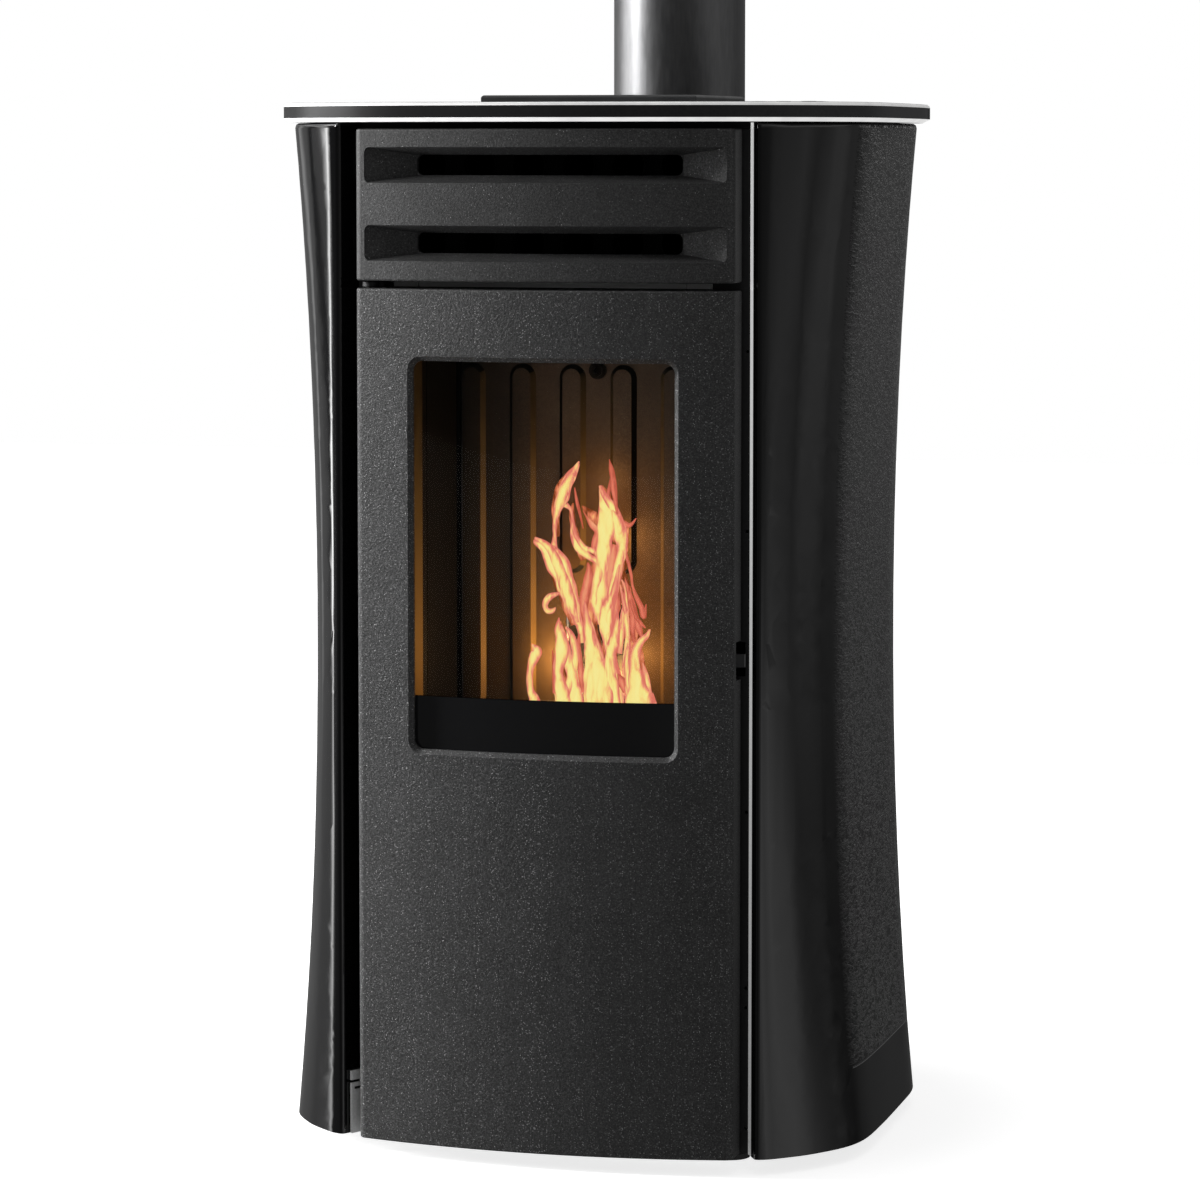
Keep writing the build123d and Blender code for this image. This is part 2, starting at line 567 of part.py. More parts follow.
rear = bx(-215, 215, 417.3, REAR_Y, 20, 969)
rear -= cy(0, OUTLET_Z, 42.8, 410, 425)
rear -= cy(105, 300, 25.3, 410, 425)
for row in range(9):
    for col in range(11):
        x = -150 + 30 * col
        z = 640 + 30 * row
        rear -= bx(x - 9, x + 9, 416, 421, z, z + 5)
rear -= bx(-160, -132, 416, 421, 66, 86)                   # inlet
rear -= bx(-126, -108, 416, 421, 64.4, 89.6)               # switch
rear -= cy(-90, 76, 8.1, 416, 421)                         # thermostat
SCREWS = [(sx, sz) for sx in (-205, 205) for sz in (40, 260, 480, 700, 950)] + [(-70, 955), (70, 955)]
for sx, sz in SCREWS:
    rear -= cy(sx, sz, 2.2, 416, 421)
put("rear_panel", rear)
put(
    "rear_panel_screws",
    [cy(sx, sz, 4.0, REAR_Y, REAR_Y + 2.4) + cy(sx, sz, 2.0, 417.4, REAR_Y) for sx, sz in SCREWS],
)
inlet = bx(-164, -104, REAR_Y + 0.1, REAR_Y + 2.6, 61, 93)
inlet += bx(-159.7, -132.3, 396, REAR_Y + 0.1, 66.3, 85.7)
inlet += bx(-125.8, -108.2, 398, REAR_Y + 0.1, 64.6, 89.4)
inlet -= bx(-156.5, -135.5, 403, 424, 69.5, 82.5)
inlet -= bx(-124.4, -109.6, 399.6, 424, 65.7, 88.3)
for px_ in (-152, -146, -140):
    zp = 77.5 if px_ == -146 else 73.0
    inlet += bx(px_ - 1, px_ + 1, 402, 418, zp, zp + 4)
SW_Y, SW_Z = 410.0, 77.0
inlet += cx(SW_Y, SW_Z, 1.5, -124.8, -109.2)
put("power_inlet", inlet)
rk = side([(404, 68), (424, 68), (421.6, 77), (424, 86), (404, 86)], -123.9, -110.1)
rk -= cx(SW_Y, SW_Z, 1.56, -130, -100)
rk = rk.rotate(Axis((0, SW_Y, SW_Z), (1, 0, 0)), -8)
put("power_switch", rk)
thermo = cy(-90, 76, 7.9, 400, REAR_Y + 6) + cy(-90, 76, 11, REAR_Y + 0.1, REAR_Y + 3)
put("thermostat_reset", thermo)

board = bx(203, 204.6, 236, 396, 305, 475)
comp = bx(186, 203, 250, 290, 320, 360) + bx(192, 203, 310, 330, 330, 420) + bx(190, 203, 345, 380, 400, 450)
comp += bx(196, 203, 250, 300, 440, 462) + bx(198, 203, 345, 385, 320, 340)
stand = cx(246, 315, 3, 204.6, 213.3) + cx(246, 465, 3, 204.6, 213.3) + cx(386, 315, 3, 204.6, 213.3) + cx(386, 465, 3, 204.6, 213.3)
put("control_board", board + comp + stand)

# ---------------------------------------------------------------- side panels
PROF = [(202, 10), (208.4, 12.2), (214.5, 15.4), (221.5, 20.9), (229, 27.6), (243.0, 41.2), (254, 55.2), (267.5, 75.8), (277, 97.4), (282.3, 123), (284.3, 165), (284.5, 208), (283.9, 255), (283, 303), (281, 351), (275.5, 380)]
WAIST_Z = 495.0


def flare(z):
    return (z - WAIST_Z) ** 2 / 9800.0 if z > WAIST_Z else (z - WAIST_Z) ** 2 / 9216.0


def kx(z):
    return (57.5 + min(flare(z), 25.0)) / 82.5


def outline(z):
    k = kx(z)
    return [(202 + (x - 202) * k, y) for x, y in PROF]


def offset_pts(pts, d):
    out = []
    n = len(pts)
    for i, (x, y) in enumerate(pts):
        xa, ya = pts[max(i - 1, 0)]
        xb, yb = pts[min(i + 1, n - 1)]
        tx, ty = xb - xa, yb - ya
        l = math.hypot(tx, ty)
        out.append((x - d * ty / l, y + d * tx / l))
    return out


def ceramic_section(z, grow=0.0):
    o = outline(z)
    if grow:
        o = offset_pts(o, -grow)
    r0 = (202.0 - 0.463 * 26.0, 10.0 + 0.887 * 26.0)
    pa = (202.0 - 0.463 * 4.5, 10.0 + 0.887 * 4.5)
    t = (o[1][0] - o[0][0], o[1][1] - o[0][1])
    tl = math.hypot(*t)
    pb = (o[0][0] + t[0] / tl * 4.5, o[0][1] + t[1] / tl * 4.5)
    pm = (201.35, 11.9)
    outer = [pb] + o[2:]
    inn = offset_pts(o, 8.0)
    inn = inn[3:]
    # inner corner of the front return
    ic = (r0[0] + 8.0, r0[1])
    i0 = (202.0 - 0.463 * 12.0 + 7.0, 10.0 + 0.887 * 12.0 + 2.0)
    V = lambda p: Vector(p[0], p[1], z)
    edges = [
        Edge.make_three_point_arc(V(pa), V(pm), V(pb)),
        Edge.make_spline([V(p) for p in outer]),
        Edge.make_line(V(outer[-1]), V(inn[-1])),
        Edge.make_spline([V(p) for p in reversed([i0] + inn[1:])]),
        Edge.make_line(V(i0), V(ic)),
        Edge.make_line(V(ic), V(r0)),
        Edge.make_line(V(r0), V(pa)),
    ]
    return Wire(edges)


ZS = [SKIRT_Z, 110, 220, 340, 495, 640, 770, 880, 971.5]
wires = [ceramic_section(z) for z in ZS]
ceramic = Solid.make_loft(wires, ruled=False)
print("ceramic valid", ceramic.is_valid, ceramic.volume)
cap = Solid.make_loft([ceramic_section(971.5), ceramic_section(974.6, -1.2), ceramic_section(BODY_TOP, -3.6)], ruled=True)
try:
    both = ceramic + cap
    if len(both.solids()) == 1 and both.is_valid:
        ceramic = both
    else:
        print("ceramic cap union", len(both.solids()))
except Exception as err:
    print("ceramic cap left out:", err)
put("right_ceramic_panel", ceramic)
put("left_ceramic_panel", ceramic.mirror(Plane.YZ))


def inner_x(y, z):
    """Inside face of the side panel at a depth and height."""
    o = offset_pts(outline(z), 8.0)
    for (xa, ya), (xb, yb) in zip(o, o[1:]):
        if min(ya, yb) <= y <= max(ya, yb):
            return xa + (xb - xa) * (y - ya) / (yb - ya)
    return o[-1][0]


brk = []
for sgn in (-1, 1):
    for z in (150, 495, 850):
        for y in (130, 310):
            xo = min(inner_x(y, z), inner_x(y + 26, z), inner_x(y, z + 20), inner_x(y + 26, z + 20), inner_x(y, z - 3)) - 0.8
            xa, xb = sorted((sgn * 215.1, sgn * xo))
            b = bx(xa, xb, y, y + 26, z, z + 2.5)
            xc, xd = sorted((sgn * (xo - 2.5), sgn * xo))
            b += bx(xc, xd, y, y + 26, z, z + 20)
            xc, xd = sorted((sgn * 215.1, sgn * 217.6))
            b += bx(xc, xd, y, y + 26, z - 16, z)
            brk.append(b)
put("ceramic_brackets", brk)

# ---------------------------------------------------------------- upper grille
gr = bowed(DOOR_HW, BOW_R, DOOR_BACK, GRILLE_Z0, GRILLE_Z1, corner=8.0, out=DOOR_SIDE)
try:
    es = [e for e in gr.edges() if abs(e.center().Z - GRILLE_Z0) < 0.01 or abs(e.center().Z - GRILLE_Z1) < 0.01]
    es = [e for e in es if e.center().Y < 6]
    gr = gr.fillet(2.0, es)
except Exception as err:
    print("grille edge rounding left out:", err)
gr -= bowed(178.0, BOW_R - 7.0, 31.0, GRILLE_Z0 + 4, GRILLE_Z1 - 4)


def ring_wedge(r_out, h_out, r_in, h_in, zc, ang=15.5):
    """Trapezoid section turned about the bow's axis."""
    pts = [(r_out, -h_out / 2), (r_out, h_out / 2), (r_in, h_in / 2), (r_in, -h_in / 2)]
    f = Face(Wire.make_polygon([Vector(0, BOW_CY - r, zc + z) for r, z in pts], close=True))
    ax = Axis((0, BOW_CY, 0), (0, 0, 1))
    s = Solid.revolve(f, 2 * ang, ax)
    return s.rotate(ax, -ang)


SLOPE = (33.2 - 19.0) / 22.6
for zc in SLOT_Z:
    wall = ring_wedge(BOW_R - 3.0, 33.2 + 7.0, BOW_R - 27.5, 19 + 6.0, zc)
    wall = wall & plan([(-177.9, -40), (177.9, -40), (177.9, 6.6), (135, 20.5), (-128.5, 20.5), (-177.9, 6.0)], 800, 990)
    gr += wall
for zc in SLOT_Z:
    h1 = 19 + SLOPE * (22.6 + 6.0)
    pocket = ring_wedge(BOW_R + 6.0, h1, BOW_R - 22.6, 19.0, zc)
    pocket = pocket & plan([(-182, -60), (182, -60), (182, -1.4), (SLOT_X1 + 45, 0.2), (SLOT_X1, 12.7), (110, 16), (-110, 16), (SLOT_X0, 11.5), (SLOT_X0 - 48, -0.6), (-182, -3.0)], 800, 990)
    mouth = Plane(origin=((SLOT_X1 + SLOT_X0 - 3) / 2, -40, zc), x_dir=(1, 0, 0), z_dir=(0, 1, 0))
    gr -= pocket & extrude(mouth * RectangleRounded(SLOT_X1 - SLOT_X0 + 93, 33.8, 6.0), 70)
    slot = Plane(origin=((SLOT_X1 + SLOT_X0) / 2, -30, zc), x_dir=(1, 0, 0), z_dir=(0, 1, 0))
    gr -= extrude(slot * RectangleRounded(SLOT_X1 - SLOT_X0, 19, 5.5), 62)
put("upper_grille", gr)

# ---------------------------------------------------------------- top
deck = bx(-214, 214, 38, 418, 970.6, 972.4)
deck -= bx(-100, 100, 163, 340, 970, 973)
deck -= bx(-60, 60, 60, 120, 970, 973)
# turned-up rim that the top plate rests on
deck += bx(-212.5, 212.5, 41, 42.5, 972.4, 976.6) + bx(-212.5, 212.5, 412.5, 414, 972.4, 976.6)
deck += bx(-212.5, -211, 41, 414, 972.4, 976.6) + bx(211, 212.5, 41, 414, 972.4, 976.6)
put("top_deck", deck)

PL_OUT = [(0, -30), (95, -24), (181, -8.2), (207, 3.2), (234.5, 19.2), (262.5, 50), (285, 92), (291.2, 124), (292.5, 208), (291, 303), (288.5, 352), (283, 390)]


def plate_outline(z, inset):
    pts = [(x, y) for x, y in PL_OUT]
    left = [(-x, y) for x, y in reversed(pts[1:])]
    allp = left + pts
    off = offset_pts(allp, inset)
    first, last = off[0], off[-1]
    rear = REAR_Y - inset
    spl = Edge.make_spline([Vector(x, y, z) for x, y in off])
    cr = (last[0] - 8.0, rear)
    cl = (-cr[0], rear)
    e1 = Edge.make_three_point_arc(
        Vector(last[0], last[1], z), Vector(last[0] - 1.8, (last[1] + rear) / 2 + 4, z), Vector(cr[0], cr[1], z)
    )
    e2 = Edge.make_line(Vector(cr[0], cr[1], z), Vector(cl[0], cl[1], z))
    e3 = Edge.make_three_point_arc(
        Vector(cl[0], cl[1], z), Vector(first[0] + 1.8, (first[1] + rear) / 2 + 4, z), Vector(first[0], first[1], z)
    )
    return Wire([spl, e1, e2, e3])


def slab(z0, i0, z1, i1):
    if i0 == i1:
        return Solid.extrude(Face(plate_outline(z0, i0)), Vector(0, 0, z1 - z0))
    return Solid.make_loft([plate_outline(z0, i0), plate_outline(z1, i1)], ruled=True)


plate = slab(PLATE_Z0, 7.0, 980.4, 0.0) + slab(980.4, 0.0, 991.6, 0.0)
plate += slab(991.6, 0.0, 993.6, 0.7) + slab(993.6, 0.7, PLATE_Z1, 2.6)
plate -= bx(-98, 98, 165, 338, 970, 1000)
plate -= bx(-99, 99, 346.5, 357, 993.6, 1000)              # hinge rebate
plate -= bx(119, 217, 214, 346, 993.0, 1000)               # control panel rebate
plate -= bx(126, 210, 222, 338, 970, 1000)
print("plate solids", len(plate.solids()), plate.is_valid)
put("top_plate", plate)

lid = bx(-LID_HW, LID_HW, LID_Y0, LID_Y1, 995.6, 1003.0)
lid = lid.fillet(3.0, [e for e in lid.edges() if abs(e.center().Z - 1003.0) < 0.01])
lid += bx(-94, 94, 169, 334, 984, 995.6) - bx(-92, 92, 171, 332, 983, 994)
lid += bx(-40, 40, 344, LID_AXIS_Y, 998.4, 1002.6) + cx(LID_AXIS_Y, LID_AXIS_Z, 3.2, -40, 40)
lid -= cx(LID_AXIS_Y, LID_AXIS_Z, 1.55, -60, 60)
lid -= bx(-103, 103, 160.2, 342.5, 995.0, 998.4) - bx(-95, 95, 168.4, 335, 994, 999)   # groove for the seal
put("hopper_lid", lid)
seal = bx(-102.9, 102.9, 160.3, 342.4, 995.1, 998.4) - bx(-95.1, 95.1, 168.3, 335.1, 995, 999)
put("lid_seal", seal)
hinge = cx(LID_AXIS_Y, LID_AXIS_Z, 1.5, -58, 58)
for sgn in (-1, 1):
    xa, xb = sorted((sgn * 40.4, sgn * 58))
    k = cx(LID_AXIS_Y, LID_AXIS_Z, 3.2, xa, xb)
    k += bx(xa, xb, LID_AXIS_Y - 2.4, LID_AXIS_Y + 2.4, 993.7, LID_AXIS_Z)
    hinge += k
hinge += bx(-58, 58, LID_AXIS_Y - 4, LID_AXIS_Y + 5, 993.7, 995.4)
hinge -= bx(-40.2, 40.2, LID_AXIS_Y - 4.5, LID_AXIS_Y + 5.5, 995.4, LID_AXIS_Z - 1.6)
put("lid_hinge_leaf", hinge)

cp = bx(119.3, 216.7, 214.3, 345.7, 993.1, 997.0)
cp = cp.fillet(1.2, [e for e in cp.edges() if abs(e.center().Z - 997.0) < 0.01])
cp += bx(127, 209, 223, 337, 975, 993.1)
cp -= bx(134, 202, 296, 334, 996.3, 998)                   # display window
BTN = (143.0, 168.0, 193.0)
for bxp in BTN:
    cp -= cz(bxp, 258, 8.3, 990, 998)
put("control_panel", cp)
for i, bxp in enumerate(BTN):
    b = cz(bxp, 258, 7.6, 992.0, 997.6)
    b = b.fillet(0.8, [e for e in b.edges() if abs(e.center().Z - 997.6) < 0.01])
    put(("minus_button", "power_button", "plus_button")[i], b)

# ---------------------------------------------------------------- write
for name, shape in parts.items():
    export_step(shape, "parts/" + name + ".step")
print(len(parts), "parts")
bb = None
for shape in parts.values():
    b = shape.bounding_box()
    bb = b if bb is None else bb.add(b)
print("bounds", bb.min, bb.max)
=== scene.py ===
import bpy
import bmesh
import math
from mathutils import Vector, Matrix


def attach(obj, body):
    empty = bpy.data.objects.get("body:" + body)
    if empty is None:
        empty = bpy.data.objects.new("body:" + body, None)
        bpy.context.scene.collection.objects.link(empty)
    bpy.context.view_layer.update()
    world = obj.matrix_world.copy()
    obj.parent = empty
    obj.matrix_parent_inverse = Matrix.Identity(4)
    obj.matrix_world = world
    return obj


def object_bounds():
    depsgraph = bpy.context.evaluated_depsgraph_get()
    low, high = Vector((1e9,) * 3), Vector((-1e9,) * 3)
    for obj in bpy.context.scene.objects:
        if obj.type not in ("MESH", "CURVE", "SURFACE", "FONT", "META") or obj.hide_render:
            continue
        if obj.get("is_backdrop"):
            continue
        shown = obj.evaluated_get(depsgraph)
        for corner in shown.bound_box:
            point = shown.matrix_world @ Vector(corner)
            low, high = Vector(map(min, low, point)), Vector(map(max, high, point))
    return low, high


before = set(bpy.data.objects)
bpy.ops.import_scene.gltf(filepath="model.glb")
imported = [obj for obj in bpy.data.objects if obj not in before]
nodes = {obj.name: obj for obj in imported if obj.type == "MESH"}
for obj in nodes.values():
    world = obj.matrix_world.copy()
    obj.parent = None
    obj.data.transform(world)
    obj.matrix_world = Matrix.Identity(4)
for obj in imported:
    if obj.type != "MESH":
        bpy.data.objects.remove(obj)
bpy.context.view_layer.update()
scene = bpy.context.scene
MM = 0.001
YS = -271.5          # the drawing's y = 0 in the row frame, mm

# ------------------------------------------------------------------ camera
cam_data = bpy.data.cameras.new("camera")
cam = bpy.data.objects.new("camera", cam_data)
scene.collection.objects.link(cam)
scene.camera = cam
yaw, pitch = math.radians(15.615), math.radians(4.617)
look = Vector((-math.sin(yaw) * math.cos(pitch), math.cos(yaw) * math.cos(pitch), -math.sin(pitch)))
cam.location = (1.1571, -3.9414 - 0.2715, 0.9548)
cam.rotation_mode = "QUATERNION"
cam.rotation_quaternion = look.to_track_quat("-Z", "Y")
cam_data.sensor_fit = "HORIZONTAL"
cam_data.sensor_width = 36.0
cam_data.lens = 133.16
cam_data.shift_y = -0.08
cam_data.clip_start, cam_data.clip_end = 0.05, 60.0
scene.view_settings.view_transform = "Standard"
scene.view_settings.look = "None"


# ------------------------------------------------------------------ shader helpers
class Mat:
    """A Principled material and short ways to hang nodes on it."""

    def __init__(self, name, color, rough, metallic=0.0, ior=None):
        self.m = bpy.data.materials.new(name)
        self.m.use_nodes = True
        self.nt = self.m.node_tree
        self.nt.nodes.clear()
        self.out = self.nt.nodes.new("ShaderNodeOutputMaterial")
        self.p = self.nt.nodes.new("ShaderNodeBsdfPrincipled")
        self.link(self.p.outputs[0], self.out.inputs["Surface"])
        self.p.inputs["Base Color"].default_value = (*color, 1)
        self.p.inputs["Roughness"].default_value = rough
        self.p.inputs["Metallic"].default_value = metallic
        if ior:
            self.p.inputs["IOR"].default_value = ior
        self.co = self.nt.nodes.new("ShaderNodeTexCoord").outputs["Object"]

    def link(self, a, b):
        self.nt.links.new(a, b)

    def set(self, **kw):
        for k, v in kw.items():
            self.p.inputs[k.replace("_", " ")].default_value = v
        return self

    def node(self, kind, **kw):
        n = self.nt.nodes.new(kind)
        for k, v in kw.items():
            setattr(n, k, v)
        return n

    def mapping(self, scale, rot=(0, 0, 0), vec=None):
        n = self.node("ShaderNodeMapping")
        n.inputs["Scale"].default_value = scale
        n.inputs["Rotation"].default_value = rot
        self.link(vec or self.co, n.inputs["Vector"])
        return n.outputs[0]

    def noise(self, scale, detail=4.0, rough=0.55, dist=0.0, vec=None):
        n = self.node("ShaderNodeTexNoise")
        n.inputs["Scale"].default_value = scale
        n.inputs["Detail"].default_value = detail
        n.inputs["Roughness"].default_value = rough
        n.inputs["Distortion"].default_value = dist
        self.link(vec or self.co, n.inputs["Vector"])
        return n.outputs["Fac"]

    def voronoi(self, scale, vec=None, feature="F1"):
        n = self.node("ShaderNodeTexVoronoi", feature=feature)
        n.inputs["Scale"].default_value = scale
        self.link(vec or self.co, n.inputs["Vector"])
        return n

    def ramp(self, fac, *stops, interp="LINEAR"):
        n = self.node("ShaderNodeValToRGB")
        n.color_ramp.interpolation = interp
        el = n.color_ramp.elements
        while len(el) < len(stops):
            el.new(0.5)
        for e, (pos, col) in zip(el, stops):
            e.position = pos
            if not hasattr(col, "__len__"):
                col = (col, col, col)
            e.color = (*col, 1) if len(col) == 3 else col
        self.link(fac, n.inputs["Fac"])
        return n.outputs["Color"]

    def math(self, op, a, b=0.0, c=None, clamp=False):
        n = self.node("ShaderNodeMath", operation=op, use_clamp=clamp)
        for i, v in enumerate((a, b) if c is None else (a, b, c)):
            if hasattr(v, "is_output"):
                self.link(v, n.inputs[i])
            else:
                n.inputs[i].default_value = v
        return n.outputs[0]

    def mix(self, fac, a, b):
        n = self.node("ShaderNodeMix", data_type="RGBA")
        for sock, v in ((n.inputs[0], fac), (n.inputs[6], a), (n.inputs[7], b)):
            if hasattr(v, "is_output"):
                self.link(v, sock)
            elif hasattr(v, "__len__"):
                sock.default_value = (*v, 1)
            else:
                sock.default_value = v
        return n.outputs[2]

    def axis(self, i):
        n = self.node("ShaderNodeSeparateXYZ")
        self.link(self.co, n.inputs[0])
        return n.outputs[i]

    def band(self, value, lo, hi, soft):
        """1 between lo and hi, falling to 0 over soft outside."""
        a = self.math("SUBTRACT", value, lo - soft)
        a = self.math("DIVIDE", a, soft, clamp=True)
        b = self.math("SUBTRACT", hi + soft, value)
        b = self.math("DIVIDE", b, soft, clamp=True)
        return self.math("MULTIPLY", a, b, clamp=True)

    def bump(self, height, strength, distance, normal=None):
        n = self.node("ShaderNodeBump")
        n.inputs["Strength"].default_value = strength
        n.inputs["Distance"].default_value = distance
        self.link(height, n.inputs["Height"])
        if normal is not None:
            self.link(normal, n.inputs["Normal"])
        return n.outputs[0]

    def to(self, socket, value):
        self.link(value, self.p.inputs[socket])
        return self


def give(mat, *names):
    for n in names:
        o = nodes[n]
        if not o.material_slots:
            o.data.materials.append(mat.m)
        for s in o.material_slots:
            s.material = mat.m


# ------------------------------------------------------------------ materials
# textured heat-resistant paint: fine raised grain, a few paler mica grains among it
def speckled(name, cell, body, share, bump_d, rough, rare, cloud=0.10):
    m = Mat(name, (body, body, body * 1.01), rough)
    v = m.voronoi(cell)
    v.inputs["Randomness"].default_value = 1.0
    sep = m.node("ShaderNodeSeparateColor")
    m.link(v.outputs["Color"], sep.inputs[0])
    pick = m.ramp(sep.outputs[0], (1 - share - 0.04, 0), (1 - share + 0.04, 1))
    dot = m.ramp(v.outputs["Distance"], (0.20, 1), (0.55, 0))
    mask = m.math("MULTIPLY", pick, dot)
    grain = m.noise(620, 3, 0.8)
    patch = m.noise(26, 3, 0.5)
    lo, hi = body * (1 - cloud), body * (1 + cloud)
    base = m.ramp(patch, (0.35, (lo, lo, lo)), (0.65, (hi, hi, hi * 1.01)))
    pits = m.ramp(grain, (0.36, 0.45), (0.50, 0.85), (0.62, 1.65))
    n = m.node("ShaderNodeMix", data_type="RGBA", blend_type="MULTIPLY")
    n.inputs[0].default_value = 1.0
    m.link(base, n.inputs[6])
    m.link(pits, n.inputs[7])
    bright = m.math("POWER", sep.outputs[1], rare)
    fleck = m.mix(bright, (body * 2.2, body * 2.2, body * 2.2), (body * 13, body * 13, body * 13))
    m.to("Base Color", m.mix(m.math("MULTIPLY", mask, 0.9), n.outputs[2], fleck))
    m.to("Roughness", m.ramp(mask, (0, rough), (1, rough * 0.62)))
    m.set(Specular_IOR_Level=0.35)
    rough_h = m.math("ADD", grain, m.math("MULTIPLY", m.noise(400, 2, 0.6), 1.2))
    m.to("Normal", m.bump(rough_h, 1.0, bump_d))
    return m


door_paint = speckled("door_paint", 900, 0.036, 0.32, 0.00050, 0.55, 3.2)
grille_paint = speckled("grille_paint", 1000, 0.038, 0.12, 0.00022, 0.55, 8.0)
give(door_paint, "door_panel")
give(grille_paint, "upper_grille")


# black glazed ceramic: mirror smooth at the front, a fine leathery relief behind it, a mould seam low down, and a
# painted highlight line on the right panel's front return
def glazed(name):
    m = Mat(name, (0.0015, 0.0015, 0.0017), 0.07)
    y = m.axis(1)
    z = m.axis(2)
    rear = m.math("DIVIDE", m.math("SUBTRACT", y, -0.172), 0.085, clamp=True)
    above = m.math("DIVIDE", m.math("SUBTRACT", z, 0.0870), 0.004, clamp=True)
    rear = m.math("MULTIPLY", rear, above)
    leather = m.noise(1.0, 3, 0.6, 1.1, m.mapping((85, 85, 230)))
    ridges = m.ramp(leather, (0.45, 0.0), (0.54, 0.6), (0.63, 1.0))
    peel = m.noise(75, 2, 0.5)
    h = m.math("MULTIPLY", ridges, rear)
    n1 = m.bump(h, 1.0, 0.0022)
    n2 = m.bump(peel, 0.016, 0.0009, n1)
    seam = m.band(z, 0.0861, 0.0866, 0.0006)
    seam = m.math("MULTIPLY", seam, m.math("GREATER_THAN", y, -0.163))
    n3 = m.bump(m.math("SUBTRACT", 1.0, seam), 1.0, 0.0016, n2)
    m.to("Normal", n3)
    fine = m.noise(900, 2, 0.5)
    x = m.axis(0)
    # painted highlight: a near-white line on the right panel's front return, set in the base colour and made to glow,
    # brighter towards the top
    painted_highlight_line = m.band(x, 0.1896, 0.1948, 0.0008)
    painted_highlight_line = m.math("MULTIPLY", painted_highlight_line, m.math("LESS_THAN", y, -0.2360))
    fade = m.math("DIVIDE", m.math("SUBTRACT", z, 0.02), 0.70, clamp=True)
    highlight_high_colour = m.ramp(m.noise(420, 3, 0.6), (0.3, (0.70, 0.70, 0.70)), (0.7, (0.84, 0.84, 0.84)))
    highlight_low_colour = m.ramp(m.noise(420, 3, 0.6), (0.3, (0.26, 0.26, 0.26)), (0.7, (0.34, 0.34, 0.34)))
    edge = m.mix(fade, highlight_low_colour, highlight_high_colour)
    m.to("Base Color", m.mix(painted_highlight_line, (0.0015, 0.0015, 0.0017), edge))
    m.to("Emission Color", edge)
    m.to("Emission Strength", m.math("MULTIPLY", painted_highlight_line, 0.62))
    smooth = m.ramp(fine, (0.3, 0.055), (0.7, 0.085))
    dull = m.math("MAXIMUM", painted_highlight_line, m.math("GREATER_THAN", z, 0.9735))
    m.to("Roughness", m.mix(dull, smooth, (0.5, 0.5, 0.5)))
    return m


glaze = glazed("glaze")
give(glaze, "left_ceramic_panel", "right_ceramic_panel")

# top plate: satin dark band between two arrises painted near-white as painted highlights
top = Mat("top_glaze", (0.006, 0.006, 0.0065), 0.30)
z = top.axis(2)
upper = top.band(z, 0.9918, 0.9946, 0.0002)
lower = top.band(z, 0.9769, 0.9805, 0.0002)
outer = top.math("GREATER_THAN", z, 0.9766)
cut_x = top.math("LESS_THAN", top.math("ABSOLUTE", top.axis(0)), 0.225)
cut_y = top.math("GREATER_THAN", top.axis(1), -0.150)
cut_b = top.math("LESS_THAN", top.axis(1), 0.092)
inside = top.math("MULTIPLY", top.math("MULTIPLY", cut_x, cut_y), cut_b)
outer = top.math("MULTIPLY", outer, top.math("SUBTRACT", 1.0, inside))
painted_arris_highlight = top.math("MULTIPLY", top.math("ADD", upper, lower, clamp=True), outer)
mott = top.noise(60, 4, 0.6)
deck = top.ramp(top.noise(420, 3, 0.6), (0.3, (0.006, 0.006, 0.0065)), (0.7, (0.010, 0.010, 0.0105)))
band = top.ramp(top.noise(420, 3, 0.6), (0.3, (0.0075, 0.0075, 0.008)), (0.7, (0.0115, 0.0115, 0.012)))
# painted light and shade: the band's colour is multiplied from 0.35 at its left end up to 3.0 at its right end
along = top.ramp(top.math("DIVIDE", top.math("ADD", top.axis(0), 0.29), 0.58, clamp=True), (0.0, 0.35), (0.45, 1.0), (1.0, 3.0))
painted_side_light = top.node("ShaderNodeMix", data_type="RGBA", blend_type="MULTIPLY")
painted_side_light.inputs[0].default_value = 1.0
top.link(band, painted_side_light.inputs[6])
top.link(along, painted_side_light.inputs[7])
band = painted_side_light.outputs[2]
level = top.math("GREATER_THAN", z, 0.9947)
flat = top.mix(level, band, deck)
edge = top.ramp(mott, (0.3, (0.80, 0.80, 0.80)), (0.7, (0.97, 0.97, 0.96)))
top.to("Base Color", top.mix(painted_arris_highlight, flat, edge))
top.to("Roughness", top.mix(level, (0.42, 0.42, 0.42), top.ramp(top.noise(240, 3, 0.6), (0.3, 0.12), (0.7, 0.17))))
top.set(Specular_IOR_Level=0.2)
# painted highlight: the two near-white arris lines also glow, the lower one more strongly
top.to("Emission Color", edge)
top.to("Emission Strength", top.math("MULTIPLY", outer, top.math("ADD", top.math("MULTIPLY", lower, 0.62), top.math("MULTIPLY", upper, 0.25))))
top.to("Normal", top.bump(top.noise(90, 2), 0.05, 0.0006))
give(top, "top_plate")


def sheet_paint(name, color, rough, scale=900, depth=0.0001, wear=0.0):
    m = Mat(name, color, rough)
    g = m.noise(scale, 3, 0.6)
    cloud = m.noise(22, 4, 0.6)
    a = m.ramp(g, (0.3, [c * 0.75 for c in color]), (0.7, [min(1, c * 1.3) for c in color]))
    m.to("Base Color", m.mix(m.ramp(cloud, (0.4, 0.0), (0.75, 0.4)), a, [min(1, c * 1.5 + wear) for c in color]))
    m.to("Roughness", m.ramp(cloud, (0.3, max(0.05, rough - 0.07)), (0.7, min(1, rough + 0.08))))
    m.to("Normal", m.bump(g, 0.35, depth))
    return m


